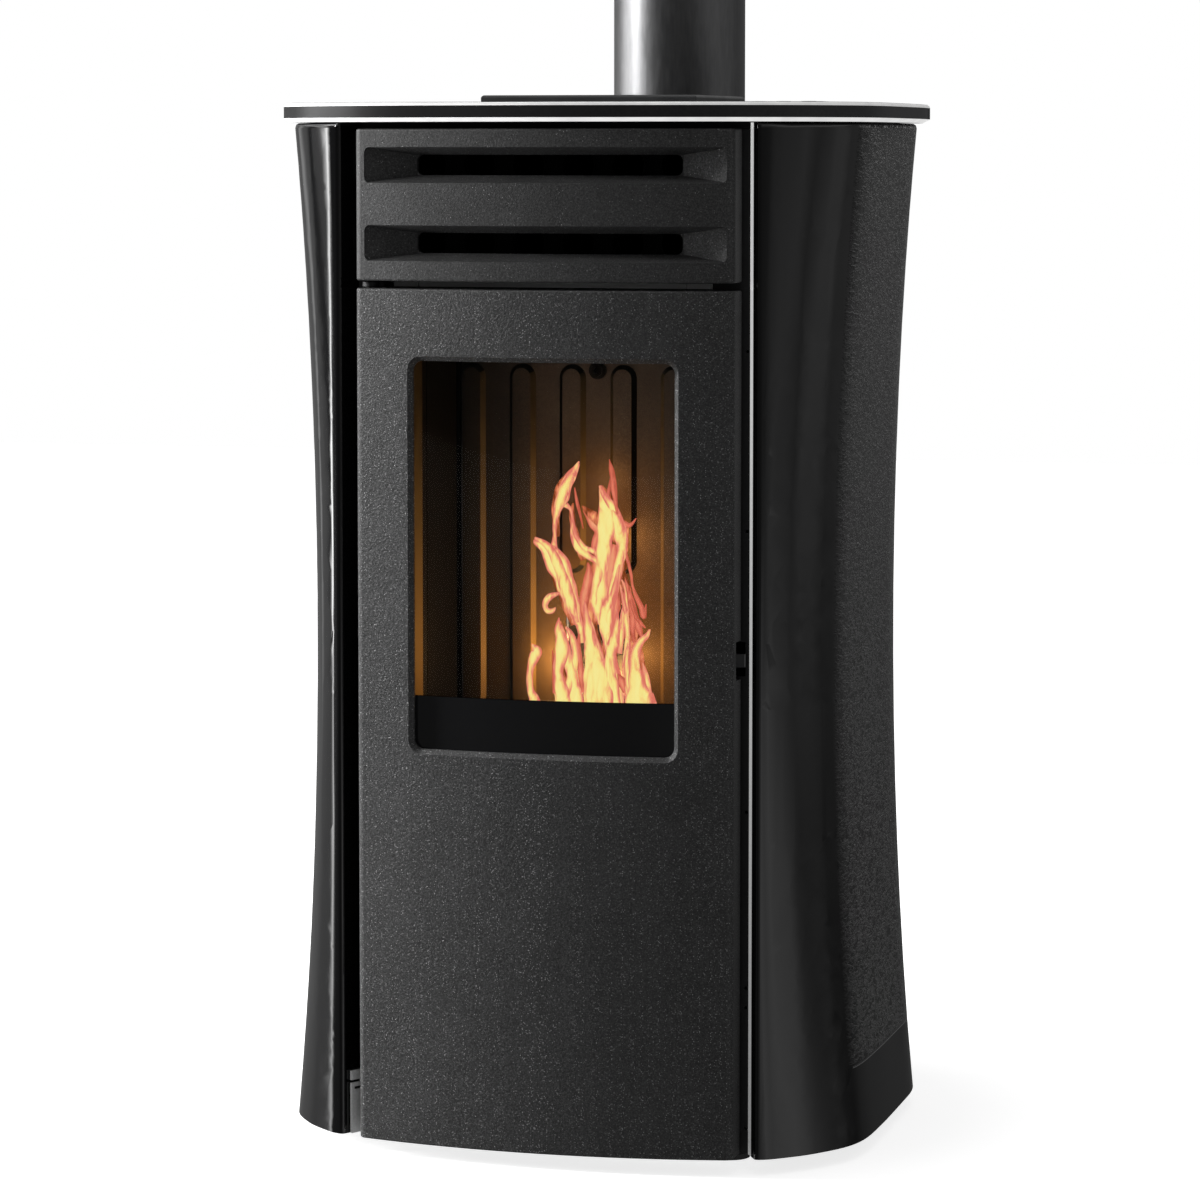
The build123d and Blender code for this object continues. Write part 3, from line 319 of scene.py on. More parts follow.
frame_paint = sheet_paint("frame_paint", (0.007, 0.007, 0.0075), 0.5)
give(frame_paint, "upper_hinge_bracket", "door_inner_frame", "ash_drawer", "rear_panel", "top_deck")
tube_paint = sheet_paint("tube_paint", (0.003, 0.003, 0.003), 0.9)
tube_paint.set(Specular_IOR_Level=0.08)
give(tube_paint, "exchanger_tubes", "firebox_shell")
lip = Mat("front_frame_paint", (0.008, 0.008, 0.0085), 0.45)
lip_z = lip.band(lip.axis(2), 0.8225, 0.828, 0.0004)
lip_y = lip.math("LESS_THAN", lip.axis(1), -0.2377)
lip_m = lip.math("MULTIPLY", lip_z, lip_y)
lip_n = lip.noise(700, 3, 0.6)
lip.to("Base Color", lip.mix(lip_m, lip.ramp(lip_n, (0.3, (0.006, 0.006, 0.0065)), (0.7, (0.011, 0.011, 0.0115))), (0.42, 0.42, 0.42)))
lip.to("Roughness", lip.ramp(lip_n, (0.3, 0.40), (0.7, 0.52)))
lip.to("Normal", lip.bump(lip_n, 0.3, 0.0001))
give(lip, "front_frame")
give(sheet_paint("side_paint", (0.012, 0.012, 0.0125), 0.5), "left_frame_side", "right_frame_side")
give(sheet_paint("lid_paint", (0.028, 0.028, 0.029), 0.42, 1200), "hopper_lid")


def flue_enamel():
    m = Mat("flue_enamel", (0.16, 0.16, 0.162), 0.46, 1.0)
    stretched = m.mapping((260, 260, 40))
    g = m.noise(1.0, 4, 0.6, vec=stretched)
    fine = m.noise(1500, 2, 0.5)
    m.to("Base Color", m.ramp(g, (0.3, (0.11, 0.11, 0.112)), (0.7, (0.14, 0.14, 0.142))))
    m.to("Roughness", m.ramp(g, (0.3, 0.35), (0.7, 0.40)))
    m.to("Normal", m.bump(fine, 0.25, 0.00008))
    return m


give(flue_enamel(), "flue_pipe", "flue_tee")


def brushed(name, color, rough, along=(30, 900, 900), spangle=False, metal=1.0):
    m = Mat(name, color, rough, metal)
    if spangle:
        v = m.voronoi(55)
        g = m.node("ShaderNodeSeparateColor")
        m.link(v.outputs["Color"], g.inputs[0])
        fac = g.outputs[0]
        fine = m.noise(500, 3, 0.6)
    else:
        fac = m.noise(1.0, 4, 0.65, vec=m.mapping(along))
        fine = fac
    m.to("Base Color", m.ramp(fac, (0.15, [c * 0.78 for c in color]), (0.85, [min(1, c * 1.15) for c in color])))
    m.to("Roughness", m.ramp(fac, (0.2, max(0.1, rough - 0.08)), (0.8, rough + 0.1)))
    m.to("Normal", m.bump(fine, 0.2, 0.00006))
    return m


steel = brushed("bare_steel", (0.50, 0.50, 0.51), 0.34, (30, 700, 700))
dark_steel = brushed("heat_darkened_steel", (0.012, 0.0105, 0.010), 0.45, (400, 400, 400), metal=0.3)
give(dark_steel, "door_hinge_pins")
sooted = brushed("sooted_bolt", (0.006, 0.005, 0.0045), 0.75, (400, 400, 400), metal=0.0)
sooted.set(Specular_IOR_Level=0.12)
give(sooted, "liner_bolt")
give(steel, "igniter", "ash_drawer_handle", "auger_tube", "auger_screw",
     "smoke_fan_impeller", "smoke_duct", "air_inlet_pipe", "pellet_chute")
zinc = brushed("zinc", (0.55, 0.56, 0.57), 0.42, spangle=True)
give(zinc, "base_plate", "hopper", "room_fan_housing")
plated = brushed("plated_steel", (0.62, 0.62, 0.63), 0.45, (500, 500, 40), metal=0.30)
latch_paint = sheet_paint("latch_paint", (0.014, 0.014, 0.015), 0.5)
give(latch_paint, "latch_bracket", "latch_lever")
give(plated, "rear_panel_screws", "ceramic_brackets", "lid_hinge_leaf")
give(brushed("silver_paint", (0.88, 0.88, 0.88), 0.6, (500, 500, 500), metal=0.0), "lower_hinge_bracket")
cast = brushed("cast_aluminium", (0.42, 0.42, 0.42), 0.5, (600, 600, 600))
give(cast, "auger_gearmotor", "smoke_fan_housing", "smoke_fan_motor", "room_fan_rotor", "room_fan_motor")


# firebox lining: dark heat-stained plate with a satin skin, darker towards the top
def lining(name, front=None):
    m = Mat(name, (0.12, 0.085, 0.06), 0.5, 0.1)
    m.set(Specular_IOR_Level=0.22)
    n = m.noise(240, 5, 0.7)
    fine = m.noise(1100, 3, 0.6)
    mixf = m.math("ADD", m.math("MULTIPLY", fine, 0.55), m.math("MULTIPLY", n, 0.45))
    z = m.axis(2)
    upper_dark_z = m.math("DIVIDE", m.math("SUBTRACT", z, 0.50), 0.24, clamp=True)
    wob = m.noise(14, 3, 0.6)
    upper_dark = m.math("MULTIPLY", upper_dark_z, m.ramp(wob, (0.3, 0.7), (0.7, 1.0)), clamp=True)
    if front is None:
        col = m.ramp(mixf, (0.30, (0.058, 0.038, 0.021)), (0.5, (0.100, 0.066, 0.036)), (0.72, (0.17, 0.115, 0.064)))
        upper_dark_col = m.ramp(fine, (0.35, (0.010, 0.0044, 0.0031)), (0.65, (0.028, 0.0122, 0.0084)))
        base = m.mix(m.math("MULTIPLY", upper_dark, 0.80), col, upper_dark_col)
        # painted light and shade: the lining is darker towards the left and the upper right, a little lighter near the
        # fire; sloping pad sides are painted golden light where they face the fire and painted black shade where they
        # turn away
        x = m.axis(0)
        left = m.ramp(m.math("DIVIDE", m.math("ADD", x, 0.14), 0.13, clamp=True), (0.0, 0.13), (0.45, 0.55), (0.7, 1.15))
        right = m.math("DIVIDE", m.math("SUBTRACT", x, 0.015), 0.080, clamp=True)
        right = m.math("SUBTRACT", 1.0, m.math("MULTIPLY", m.math("MULTIPLY", right, upper_dark_z), 0.62))
        left = m.math("MULTIPLY", left, right)
        lm = m.node("ShaderNodeMix", data_type="RGBA", blend_type="MULTIPLY")
        lm.inputs[0].default_value = 1.0
        m.link(base, lm.inputs[6])
        m.link(left, lm.inputs[7])
        geo = m.node("ShaderNodeNewGeometry")
        gn = m.node("ShaderNodeSeparateXYZ")
        m.link(geo.outputs["Normal"], gn.inputs[0])
        slope = m.math("ADD", m.math("ABSOLUTE", gn.outputs[0]), m.math("ABSOLUTE", gn.outputs[2]))
        slope = m.math("DIVIDE", m.math("SUBTRACT", slope, 0.10), 0.12, clamp=True)
        faces_fire = m.math("MULTIPLY", gn.outputs[0], m.math("SUBTRACT", 0.012, x))
        faces_fire = m.math("MULTIPLY", m.math("GREATER_THAN", faces_fire, 0.0), m.math("LESS_THAN", m.math("ABSOLUTE", gn.outputs[2]), 0.35))
        faces_fire = m.math("MULTIPLY", faces_fire, m.math("SUBTRACT", 1.0, upper_dark), clamp=True)
        sides = m.mix(faces_fire, (0.0015, 0.0012, 0.001), (0.17, 0.115, 0.045))
        base = m.mix(slope, lm.outputs[2], sides)
    else:
        col = m.ramp(mixf, (0.35, (0.0025, 0.0022, 0.0020)), (0.65, (0.0070, 0.0058, 0.0050)))
        f = m.math("LESS_THAN", m.axis(1), front)
        # painted glow: the front strip is painted golden as the fire's reflected light, fading to near black towards
        # the top
        edge = m.mix(upper_dark, (0.25, 0.165, 0.060), (0.007, 0.005, 0.004))
        base = m.mix(f, col, edge)
        m.set(Specular_IOR_Level=0.04)
    m.to("Base Color", base)
    m.to("Roughness", m.ramp(fine, (0.3, 0.42), (0.7, 0.56)))
    m.to("Normal", m.bump(m.math("ADD", fine, n), 0.35, 0.0003))
    return m


give(lining("back_lining"), "back_liner", "baffle")
give(lining("side_lining", (YS + 66) * MM), "left_liner", "right_liner")


def iron():
    m = Mat("pot_iron", (0.055, 0.050, 0.047), 0.7, 0.3)
    n = m.noise(260, 5, 0.65)
    m.to("Base Color", m.ramp(n, (0.3, (0.02, 0.018, 0.017)), (0.6, (0.07, 0.062, 0.056)), (0.8, (0.16, 0.14, 0.125))))
    m.to("Normal", m.bump(n, 0.5, 0.0006))
    return m


give(iron(), "burn_pot", "burn_pot_shelf")


def rope():
    m = Mat("rope", (0.22, 0.21, 0.195), 0.9)
    w = m.node("ShaderNodeTexWave", wave_type="BANDS", bands_direction="DIAGONAL")
    w.inputs["Scale"].default_value = 260
    w.inputs["Distortion"].default_value = 2.0
    w.inputs["Detail"].default_value = 2.0
    m.link(m.co, w.inputs["Vector"])
    n = m.noise(900, 3)
    m.to("Base Color", m.ramp(w.outputs["Fac"], (0.2, (0.10, 0.097, 0.09)), (0.7, (0.30, 0.29, 0.27))))
    m.to("Normal", m.bump(m.math("ADD", w.outputs["Fac"], n), 0.7, 0.0009))
    return m


give(rope(), "door_gasket")


def plastic(name, color, rough, scale=600, depth=0.00006):
    m = Mat(name, color, rough)
    n = m.noise(scale, 3, 0.5)
    m.to("Base Color", m.ramp(n, (0.3, [c * 0.85 for c in color]), (0.7, [c * 1.15 for c in color])))
    m.to("Roughness", m.ramp(n, (0.3, max(0.03, rough - 0.04)), (0.7, rough + 0.05)))
    m.to("Normal", m.bump(n, 0.25, depth))
    return m


give(plastic("seal_rubber", (0.03, 0.03, 0.03), 0.75), "lid_seal")
give(plastic("foot_rubber", (0.022, 0.022, 0.022), 0.7), "levelling_feet")
give(plastic("panel_gloss", (0.008, 0.008, 0.009), 0.09, 300, 0.00002), "control_panel")
give(plastic("key_grey", (0.10, 0.10, 0.105), 0.5), "minus_button", "power_button", "plus_button")
give(plastic("socket_black", (0.02, 0.02, 0.02), 0.45), "power_inlet", "power_switch", "thermostat_reset")


def board():
    m = Mat("board", (0.02, 0.12, 0.05), 0.4)
    v = m.voronoi(160)
    m.to("Base Color", m.ramp(v.outputs["Distance"], (0.1, (0.05, 0.25, 0.11)), (0.5, (0.015, 0.10, 0.04))))
    m.to("Normal", m.bump(v.outputs["Distance"], 0.3, 0.0003))
    return m


give(board(), "control_board")

# door glass: clear above, an opaque black band along the lower edge
gl = Mat("door_glass", (0.92, 0.90, 0.86), 0.02)
gl.set(Transmission_Weight=1.0, IOR=1.12)
dust = gl.noise(120, 4, 0.6)
gl.to("Roughness", gl.ramp(dust, (0.4, 0.0), (0.8, 0.025)))
black = gl.node("ShaderNodeBsdfPrincipled")
black.inputs["Roughness"].default_value = 0.16
fleck = gl.noise(800, 2)
gl.link(gl.ramp(fleck, (0.3, (0.0045, 0.0045, 0.005)), (0.7, (0.0075, 0.0075, 0.008))), black.inputs["Base Color"])
z = gl.axis(2)
x = gl.axis(0)
bandm = gl.math("LESS_THAN", z, 0.4405)
mixs = gl.node("ShaderNodeMixShader")
gl.link(bandm, mixs.inputs[0])
gl.link(gl.p.outputs[0], mixs.inputs[1])
gl.link(black.outputs[0], mixs.inputs[2])
gl.link(mixs.outputs[0], gl.out.inputs["Surface"])
give(gl, "door_glass")

# ------------------------------------------------------------------ flames
# name, kind, depth y (drawing, mm), centre line (x, z, half width) from the root to the tip, mm
FLAMES = [
    ("tongue_01", "y", 130, [(-43.6, 416.8, 5.17), (-45.7, 424.5, 4.83), (-49.3, 433, 3.79), (-50.4, 445, 3.28), (-49.3, 455.4, 3.62), (-46.1, 465, 4.83), (-44.3, 470.2, 5.17), (-47.5, 474.4, 2.41), (-49.3, 476.8, 0.52)]),
    ("tongue_02", "y", 148, [(-3.4, 477.2, 1.73), (-4.6, 487.5, 3.45), (-7.8, 497.8, 4.83), (-11.8, 508, 6.22), (-15.9, 520, 7.95), (-20.1, 531.9, 9.68), (-23.6, 543.9, 11.06), (-29, 554.2, 11.41), (-34.4, 562.7, 8.99), (-40.2, 568.6, 5.19), (-45.3, 571.7, 3.46), (-49.2, 574, 2.6), (-51, 576.1, 0.87)]),
    ("tongue_03", "y", 151, [(-32.1, 559, 4.5), (-33.1, 567.6, 3.81), (-33, 575.4, 2.42), (-32.1, 583.2, 2.08), (-30.6, 591.9, 2.08), (-29.9, 599.7, 2.25), (-28.8, 604.9, 3.11), (-25.8, 611.9, 4.5), (-23.1, 618, 6.57), (-21.6, 624.6, 6.23), (-19.1, 631.1, 5.19), (-15, 638.1, 5.19), (-10.8, 644.2, 3.46), (-6.5, 649.8, 0.69)]),
    ("tongue_04", "y", 146, [(-18.8, 610.8, 3.11), (-14.1, 606.2, 1.73), (-12.7, 598, 1.55), (-12.3, 587.6, 2.76), (-11.2, 577.3, 3.45), (-7.6, 568.8, 3.8), (-1, 563.4, 3.28), (6.2, 559.1, 3.28), (13.3, 555.2, 3.79), (16.9, 547.9, 3.79), (16.4, 540.1, 3.1), (15.1, 533.2, 1.03)]),
    ("tongue_05", "s", 154, [(-12.8, 626.7, 0.69), (-10.3, 614.6, 1.38), (-7.4, 604.3, 1.56), (-5.2, 595.7, 1.04), (-3.3, 587.5, 0.52)]),
    ("tongue_06", "s", 157, [(-5.9, 604.4, 0.86), (-1.8, 601.1, 3.11), (3.1, 596, 5.19), (6.9, 590.2, 5.53), (9, 583.7, 3.8), (7.6, 576.7, 4.15), (5.8, 569.8, 3.46), (4.3, 562.8, 1.38)]),
    ("tongue_07", "y", 142, [(11.4, 501.6, 1.38), (12.8, 511.1, 4.48), (15, 521.5, 6.54), (16.8, 533.6, 6.89), (17.8, 545.7, 5.85), (18.9, 557.8, 6.2), (20.3, 568.2, 7.23), (21.8, 578.5, 7.92), (23.5, 590.6, 9.98), (23.5, 600.9, 8.95), (21.8, 609.5, 6.54), (19.3, 618, 4.48), (17.1, 624.9, 2.75), (15.7, 630.4, 0.69)]),
    ("tongue_08", "y", 140, [(35.9, 551.6, 1.37), (36.9, 560.2, 3.78), (37.6, 568.8, 5.16), (37.6, 577.4, 5.84), (35.9, 586, 6.53), (33.7, 594.5, 6.19), (31.6, 601.3, 4.13), (29.3, 607.3, 1.72)]),
    ("tongue_09", "s", 152, [(30.4, 598.5, 1.55), (30.1, 607.1, 1.21), (29.9, 617.5, 1.21), (28.7, 627.8, 2.07), (26.9, 637.2, 2.76), (25.1, 645.8, 2.41), (23.3, 653.5, 0.69)]),
    ("tongue_10", "s", 154, [(22, 615.7, 0.69), (21.3, 622.3, 1.73), (22.7, 630.9, 1.73), (23.8, 637.8, 1.38), (24.2, 643, 0.52)]),
    ("tongue_11", "s", 153, [(31.2, 596.7, 2.41), (37.3, 593.4, 2.93), (42.3, 591.8, 2.41), (46.2, 594.5, 1.38), (49.5, 598.9, 0.52)]),
    ("tongue_12", "s", 149, [(38.4, 574.9, 1.38), (40.5, 564.6, 1.55), (43.4, 554.3, 1.55), (45.5, 544.1, 1.38), (46.6, 533.8, 1.38), (49.8, 523.5, 2.06), (54.4, 513.4, 2.75), (56.9, 504, 2.41), (59.4, 516.1, 0.52)]),
    ("tongue_13", "s", 156, [(24.9, 497.9, 3.45), (26.7, 515.2, 5.87), (24.9, 529, 6.21), (24, 542.7, 5.87), (24.3, 554.8, 6.21), (25.8, 565.2, 5.87), (27.6, 572.2, 3.45)]),
    ("tongue_14", "y", 138, [(27.1, 467.3, 4.47), (25.7, 479.3, 6.53), (24.5, 491.3, 7.22), (21.8, 501.5, 5.5), (23.6, 510.2, 5.16), (27.5, 518.9, 4.47), (31.1, 527.6, 3.44), (33.6, 538, 2.41), (35.3, 548.3, 1.55), (36.8, 555.2, 0.86)]),
    ("tongue_15", "y", 136, [(36.9, 469.6, 2.4), (38, 481.6, 2.75), (39.1, 493.7, 3.09), (40.9, 507.5, 3.43), (43.7, 517.9, 3.43), (44.4, 526.5, 3.09), (41.9, 535, 1.89), (39.1, 540.9, 0.69)]),
    ("tongue_16", "y", 132, [(17.2, 418.2, 16.49), (16.7, 431.6, 15.12), (14.9, 445.3, 13.06), (12.8, 457.2, 10.65), (10.3, 469.2, 8.25), (8.5, 481.2, 6.53), (7, 493.1, 4.81), (6, 505.1, 2.75), (4.5, 519.2, 0.69)]),
    ("tongue_17", "y", 134, [(30.9, 418.5, 6.87), (30.4, 431.8, 6.52), (29.3, 445.5, 6.18), (28.2, 457.5, 5.49), (29.3, 469.6, 5.15), (32.7, 481.7, 5.15), (34.6, 493.8, 4.12), (35.4, 504.1, 2.4), (34.6, 512.7, 0.69)]),
    ("tongue_18", "y", 128, [(-17.2, 417.5, 7.57), (-18.3, 429.2, 7.22), (-20.1, 441.1, 5.85), (-21.5, 453.1, 5.16), (-18.3, 465.3, 6.88), (-17.2, 475.6, 6.19), (-19, 485, 4.82), (-21.5, 492.7, 3.44), (-20.8, 503.4, 0.69)]),
    ("tongue_19", "y", 131, [(-14.1, 427.2, 3.1), (-11.3, 441.1, 3.78), (-8.4, 454.9, 3.78), (-6.6, 467, 3.44), (-8, 479, 3.78), (-10.9, 487.5, 3.1), (-15.9, 494.3, 0.86)]),
    ("tongue_20", "y", 129, [(58.4, 420.1, 14.04), (58.4, 433.5, 11.3), (56.6, 445.4, 8.9), (54.8, 457.3, 5.82), (54.5, 469.3, 4.45), (56.6, 477.9, 3.77), (61.2, 484.1, 3.42), (65.5, 488.1, 2.74), (69, 494.4, 0.51)]),
    ("tongue_21", "y", 127, [(53.2, 420.2, 7.87), (52.2, 433.5, 5.82), (49.3, 445.4, 4.79), (46.9, 457.3, 3.77), (47.6, 469.3, 3.08), (49.3, 477.9, 2.23), (48.3, 487.8, 0.51)]),
    ("tongue_22", "y", 126, [(69.1, 420.9, 5.13), (67.3, 434.2, 3.76), (65.6, 446.1, 3.08), (63.8, 454.6, 2.22), (62, 462, 0.51)]),
    ("tongue_23", "y", 125, [(74.3, 421.2, 2.73), (74.3, 427.7, 1.71), (72.9, 434.2, 0.51)]),
    ("tongue_24", "y", 144, [(-23.9, 525.7, 1.04), (-28.6, 524.2, 2.42), (-34, 521.9, 3.46), (-38, 517.3, 3.28), (-39, 511.9, 2.59), (-36.5, 508, 2.77), (-31.8, 508.2, 2.25), (-28.6, 511.4, 0.69)]),
    ("tongue_25", "s", 133, [(42.7, 432.4, 2.4), (40.6, 440.6, 4.46), (37.8, 446.3, 2.75), (35.6, 450, 0.69)]),
    ("tongue_26", "s", 143, [(-0.2, 496.8, 1.38), (-1.1, 510.6, 3.79), (0.7, 524.4, 5.17), (4.3, 538.3, 4.83), (5.8, 548.7, 3.1), (4.3, 555.9, 0.86)]),
    ("tongue_27", "s", 137, [(50.5, 480.2, 1.72), (49.1, 493.9, 2.75), (50.5, 507.7, 3.77), (48.1, 521.3, 3.43), (45.2, 533.3, 2.06), (43.1, 541.8, 0.52)]),
    ("tongue_28", "s", 135, [(60, 485.9, 1.37), (56.4, 494.4, 3.43), (53.6, 504.6, 2.74), (51.1, 514.8, 0.86)]),
    ("tongue_29", "s", 130, [(-24.6, 430.4, 2.75), (-25.3, 444.2, 2.41), (-26.4, 457.9, 1.72), (-28.5, 471.6, 0.52)]),
    ("tongue_30", "s", 139, [(-1, 430.1, 2.41), (-2.4, 445.5, 3.1), (-3.9, 461, 3.1), (-4.6, 474.8, 2.41), (-3.5, 486.9, 1.03)]),
    ("tongue_31", "v", 162, [(9.2, 411.4, 9.26), (9.2, 447.3, 9.25), (3.3, 472.1, 8.54), (-1.9, 493.5, 9.25), (1.1, 515.0, 7.82), (7.4, 536.6, 7.11), (11.4, 558.1, 7.1), (16.6, 579.6, 7.81), (21.7, 601.1, 7.09), (17.3, 618.1, 3.9), (11.4, 628.6, 0.71)]),
    ("tongue_32", "v", 160, [(26.0, 412.2, 7.82), (23.8, 448.0, 7.11), (21.6, 472.9, 7.11), (22.3, 497.9, 7.81), (23.0, 519.4, 8.52), (28.2, 540.9, 7.09), (33.3, 561.7, 4.96), (37.0, 580.3, 3.19), (39.9, 591.0, 0.71)]),
    ("tongue_33", "v", 158, [(51.6, 413.4, 9.94), (49.0, 441.9, 9.93), (46.4, 466.8, 8.51), (43.5, 488.1, 7.09), (41.2, 509.4, 5.67), (38.3, 530.7, 3.9), (35.3, 546.6, 1.06)]),
    ("tongue_34", "v", 159, [(-24.8, 410.6, 7.13), (-27.0, 442.9, 6.42), (-26.2, 464.4, 5.7), (-27.0, 485.9, 3.92), (-28.1, 496.6, 1.07)]),
    ("tongue_35", "v", 157, [(-13.8, 493.6, 3.2), (-20.4, 514.9, 6.4), (-26.3, 536.2, 7.83), (-33.0, 553.9, 7.11), (-39.6, 567.3, 4.98), (-51.5, 576.3, 1.07)]),
    ("tongue_36", "v", 155, [(-30.2, 579.1, 3.2), (-31.6, 600.5, 4.26), (-27.9, 621.9, 6.39), (-19.8, 636.3, 5.32), (-10.2, 649.3, 1.06)]),
    ("tongue_37", "v", 156, [(-3.1, 557.6, 3.19), (-9.8, 572.4, 4.26), (-14.9, 590.1, 3.2), (-16.8, 603.6, 2.48), (-15.7, 611.4, 0.71)]),
    ("tongue_38", "v", 156, [(34.8, 569.9, 2.83), (27.4, 580.4, 5.67), (18.2, 590.9, 6.38), (7.2, 597.7, 4.96), (-2.0, 604.6, 2.84), (-6.8, 608.8, 0.71)]),
    ("tongue_39", "y", 138, [(18.1, 414.7, 7.08), (19.2, 443.2, 7.43), (14.4, 464.4, 6.37), (8.6, 485.6, 4.95), (4.2, 503.3, 3.18), (1.2, 515.6, 0.71)]),
    ("tongue_40", "y", 139, [(34.7, 415.1, 6.01), (32.2, 443.5, 5.3), (28.8, 464.8, 4.6), (26.6, 486.0, 4.24), (27.4, 507.4, 4.59), (30.3, 528.7, 4.94), (34.0, 550.1, 4.59), (37.6, 571.5, 4.23), (37.6, 589.2, 4.23), (31.0, 606.7, 4.58), (21.9, 620.7, 3.17), (16.7, 630.4, 0.71)]),
    ("tongue_41", "y", 136, [(53.9, 416.2, 7.06), (51.7, 441.0, 6.71), (51.6, 458.7, 4.59), (55.3, 473.0, 2.82), (60.8, 483.8, 1.59), (65.5, 493.5, 0.53)]),
    ("tongue_42", "y", 137, [(47.4, 415.8, 4.59), (44.1, 444.1, 4.24), (42.6, 465.4, 3.18), (44.0, 486.8, 2.65), (42.6, 508.0, 2.47), (40.0, 525.7, 1.76), (37.8, 536.2, 0.53)]),
    ("tongue_43", "y", 135, [(-3.9, 414.3, 6.73), (-9.0, 446.2, 5.31), (-14.1, 463.9, 4.96), (-17.1, 481.6, 3.54), (-20.8, 495.7, 0.71)]),
    ("tongue_44", "y", 141, [(-7.0, 497.3, 2.48), (-12.5, 513.2, 4.96), (-18.8, 530.8, 6.02), (-24.7, 548.4, 5.67), (-31.3, 564.3, 4.25), (-38.3, 573.0, 2.84), (-48.6, 578.8, 1.06)]),
    ("tongue_45", "y", 143, [(14.9, 495.9, 1.77), (10.8, 513.6, 3.89), (11.6, 531.4, 4.6), (16.3, 549.3, 4.6), (17.1, 560.7, 3.53), (10.8, 566.9, 2.83), (1.7, 569.5, 2.83), (-5.3, 577.2, 2.48), (-10.1, 585.9, 1.77), (-12.3, 596.5, 0.71)]),
    ("tongue_46", "y", 142, [(-27.5, 575.0, 1.42), (-28.6, 587.4, 2.13), (-27.1, 601.6, 2.83), (-23.4, 615.9, 4.95), (-17.9, 630.2, 5.31), (-11.3, 642.8, 3.18), (-5.7, 652.8, 0.71)]),
    ("tongue_47", "s", 134, [(45.6, 533.2, 1.41), (49.2, 519.1, 1.76), (53.6, 506.9, 2.11), (59.1, 499.9, 1.76), (63.8, 495.5, 0.7)]),
    ("tongue_48", "s", 133, [(35.6, 603.7, 1.06), (32.7, 624.9, 2.11), (31.2, 639.0, 1.94), (28.3, 656.5, 0.53)]),
]


def smooth_line(pts, n):
    """Evenly spread points along a smooth curve through pts."""
    P = [Vector(p) for p in pts]
    P = [P[0] * 2 - P[1]] + P + [P[-1] * 2 - P[-2]]
    out = []
    segs = len(P) - 3
    for i in range(n + 1):
        t = i / n * segs
        k = min(int(t), segs - 1)
        u = t - k
        a, b, c, d = P[k:k + 4]
        out.append(0.5 * ((2 * b) + (c - a) * u + (2 * a - 5 * b + 4 * c - d) * u * u + (3 * b - a - 3 * c + d) * u ** 3))
    return out


def flame(name, kind, depth, pts):
    pts = [(x, z, w) for x, z, w in pts]
    if pts[0][1] < 424:
        x, z, w = pts[0]
        pts = [(x * 0.62 + 2, 384, w * 0.55), (x * 0.85 + 1, 402, w * 0.85)] + pts
    line = smooth_line(pts, 6 * len(pts))
    bm = bmesh.new()
    core = bm.verts.layers.float.new("core")
    heat = bm.verts.layers.float.new("heat")
    rings = []
    ring_n = 20
    total = len(line) - 1
    for i, p in enumerate(line):
        a, b = line[max(0, i - 1)], line[min(total, i + 1)]
        tan = Vector((b.x - a.x, b.y - a.y))
        tan = tan.normalized() if tan.length > 1e-6 else Vector((0, 1))
        side = Vector((tan.y, -tan.x))
        w = max(p.z * (1 + 0.07 * math.sin(p.y * 0.13 + depth) + 0.05 * math.sin(p.y * 0.31 + 2 * depth)), 0.35)
        th = min(w * 0.55, 9.0)
        lean = 3.0 * math.sin(p.y * 0.045 + depth)
        ring = []
        for k in range(ring_n):
            ang = 2 * math.pi * k / ring_n
            c, s = math.cos(ang), math.sin(ang)
            v = bm.verts.new(((p.x + side.x * w * c) * MM, (YS + depth + lean + th * s) * MM, (p.y + side.y * w * c) * MM))
            v[core] = max(0.0, min(1.0, (1 - abs(c)) * w / 4.6))
            v[heat] = i / total
            ring.append(v)
        rings.append(ring)
    for r0, r1 in zip(rings, rings[1:]):
        for k in range(ring_n):
            bm.faces.new((r0[k], r0[(k + 1) % ring_n], r1[(k + 1) % ring_n], r1[k]))
    bm.faces.new(list(reversed(rings[0])))
    bm.faces.new(rings[-1])
    bmesh.ops.recalc_face_normals(bm, faces=bm.faces)
    me = bpy.data.meshes.new(name)
    bm.to_mesh(me)
    bm.free()
    for f in me.polygons:
        f.use_smooth = True
    o = bpy.data.objects.new(name, me)
    scene.collection.objects.link(o)
    o.visible_shadow = False
    return o


def flame_mat(kind):
    m = Mat("flame_" + kind, (0, 0, 0), 1.0)
    m.set(Specular_IOR_Level=0.0)
    att = m.node("ShaderNodeAttribute", attribute_name="core")
    hat = m.node("ShaderNodeAttribute", attribute_name="heat")
    streak = m.noise(1.0, 4, 0.6, 1.1, m.mapping((150, 60, 34)))
    gain, swing = {"y": (0.78, 1.9), "s": (0.8, 1.2), "v": (0.5, 2.6)}[kind]
    c = m.math("ADD", m.math("MULTIPLY", att.outputs["Fac"], gain), m.math("MULTIPLY", m.math("SUBTRACT", streak, 0.5), swing))
    c = m.math("SUBTRACT", c, m.math("MULTIPLY", m.math("POWER", hat.outputs["Fac"], 3.0), 0.5), clamp=True)
    if kind == "y":
        col = m.ramp(c, (0.0, (0.76, 0.19, 0.14)), (0.2, (0.90, 0.32, 0.21)), (0.40, (0.97, 0.58, 0.22)), (0.60, (0.99, 0.82, 0.28)), (1.0, (0.99, 0.89, 0.34)))
    elif kind == "s":
        col = m.ramp(c, (0.0, (0.50, 0.10, 0.06)), (0.4, (0.80, 0.20, 0.13)), (1.0, (0.93, 0.42, 0.22)))
    else:
        col = m.ramp(c, (0.0, (0.20, 0.045, 0.012)), (0.25, (0.55, 0.14, 0.06)), (0.5, (0.84, 0.25, 0.13)), (0.75, (0.94, 0.48, 0.18)), (1.0, (0.98, 0.80, 0.28)))
    m.to("Emission Color", col)
    m.set(Emission_Strength=1.0)
    m.m.cycles.emission_sampling = "NONE"
    return m


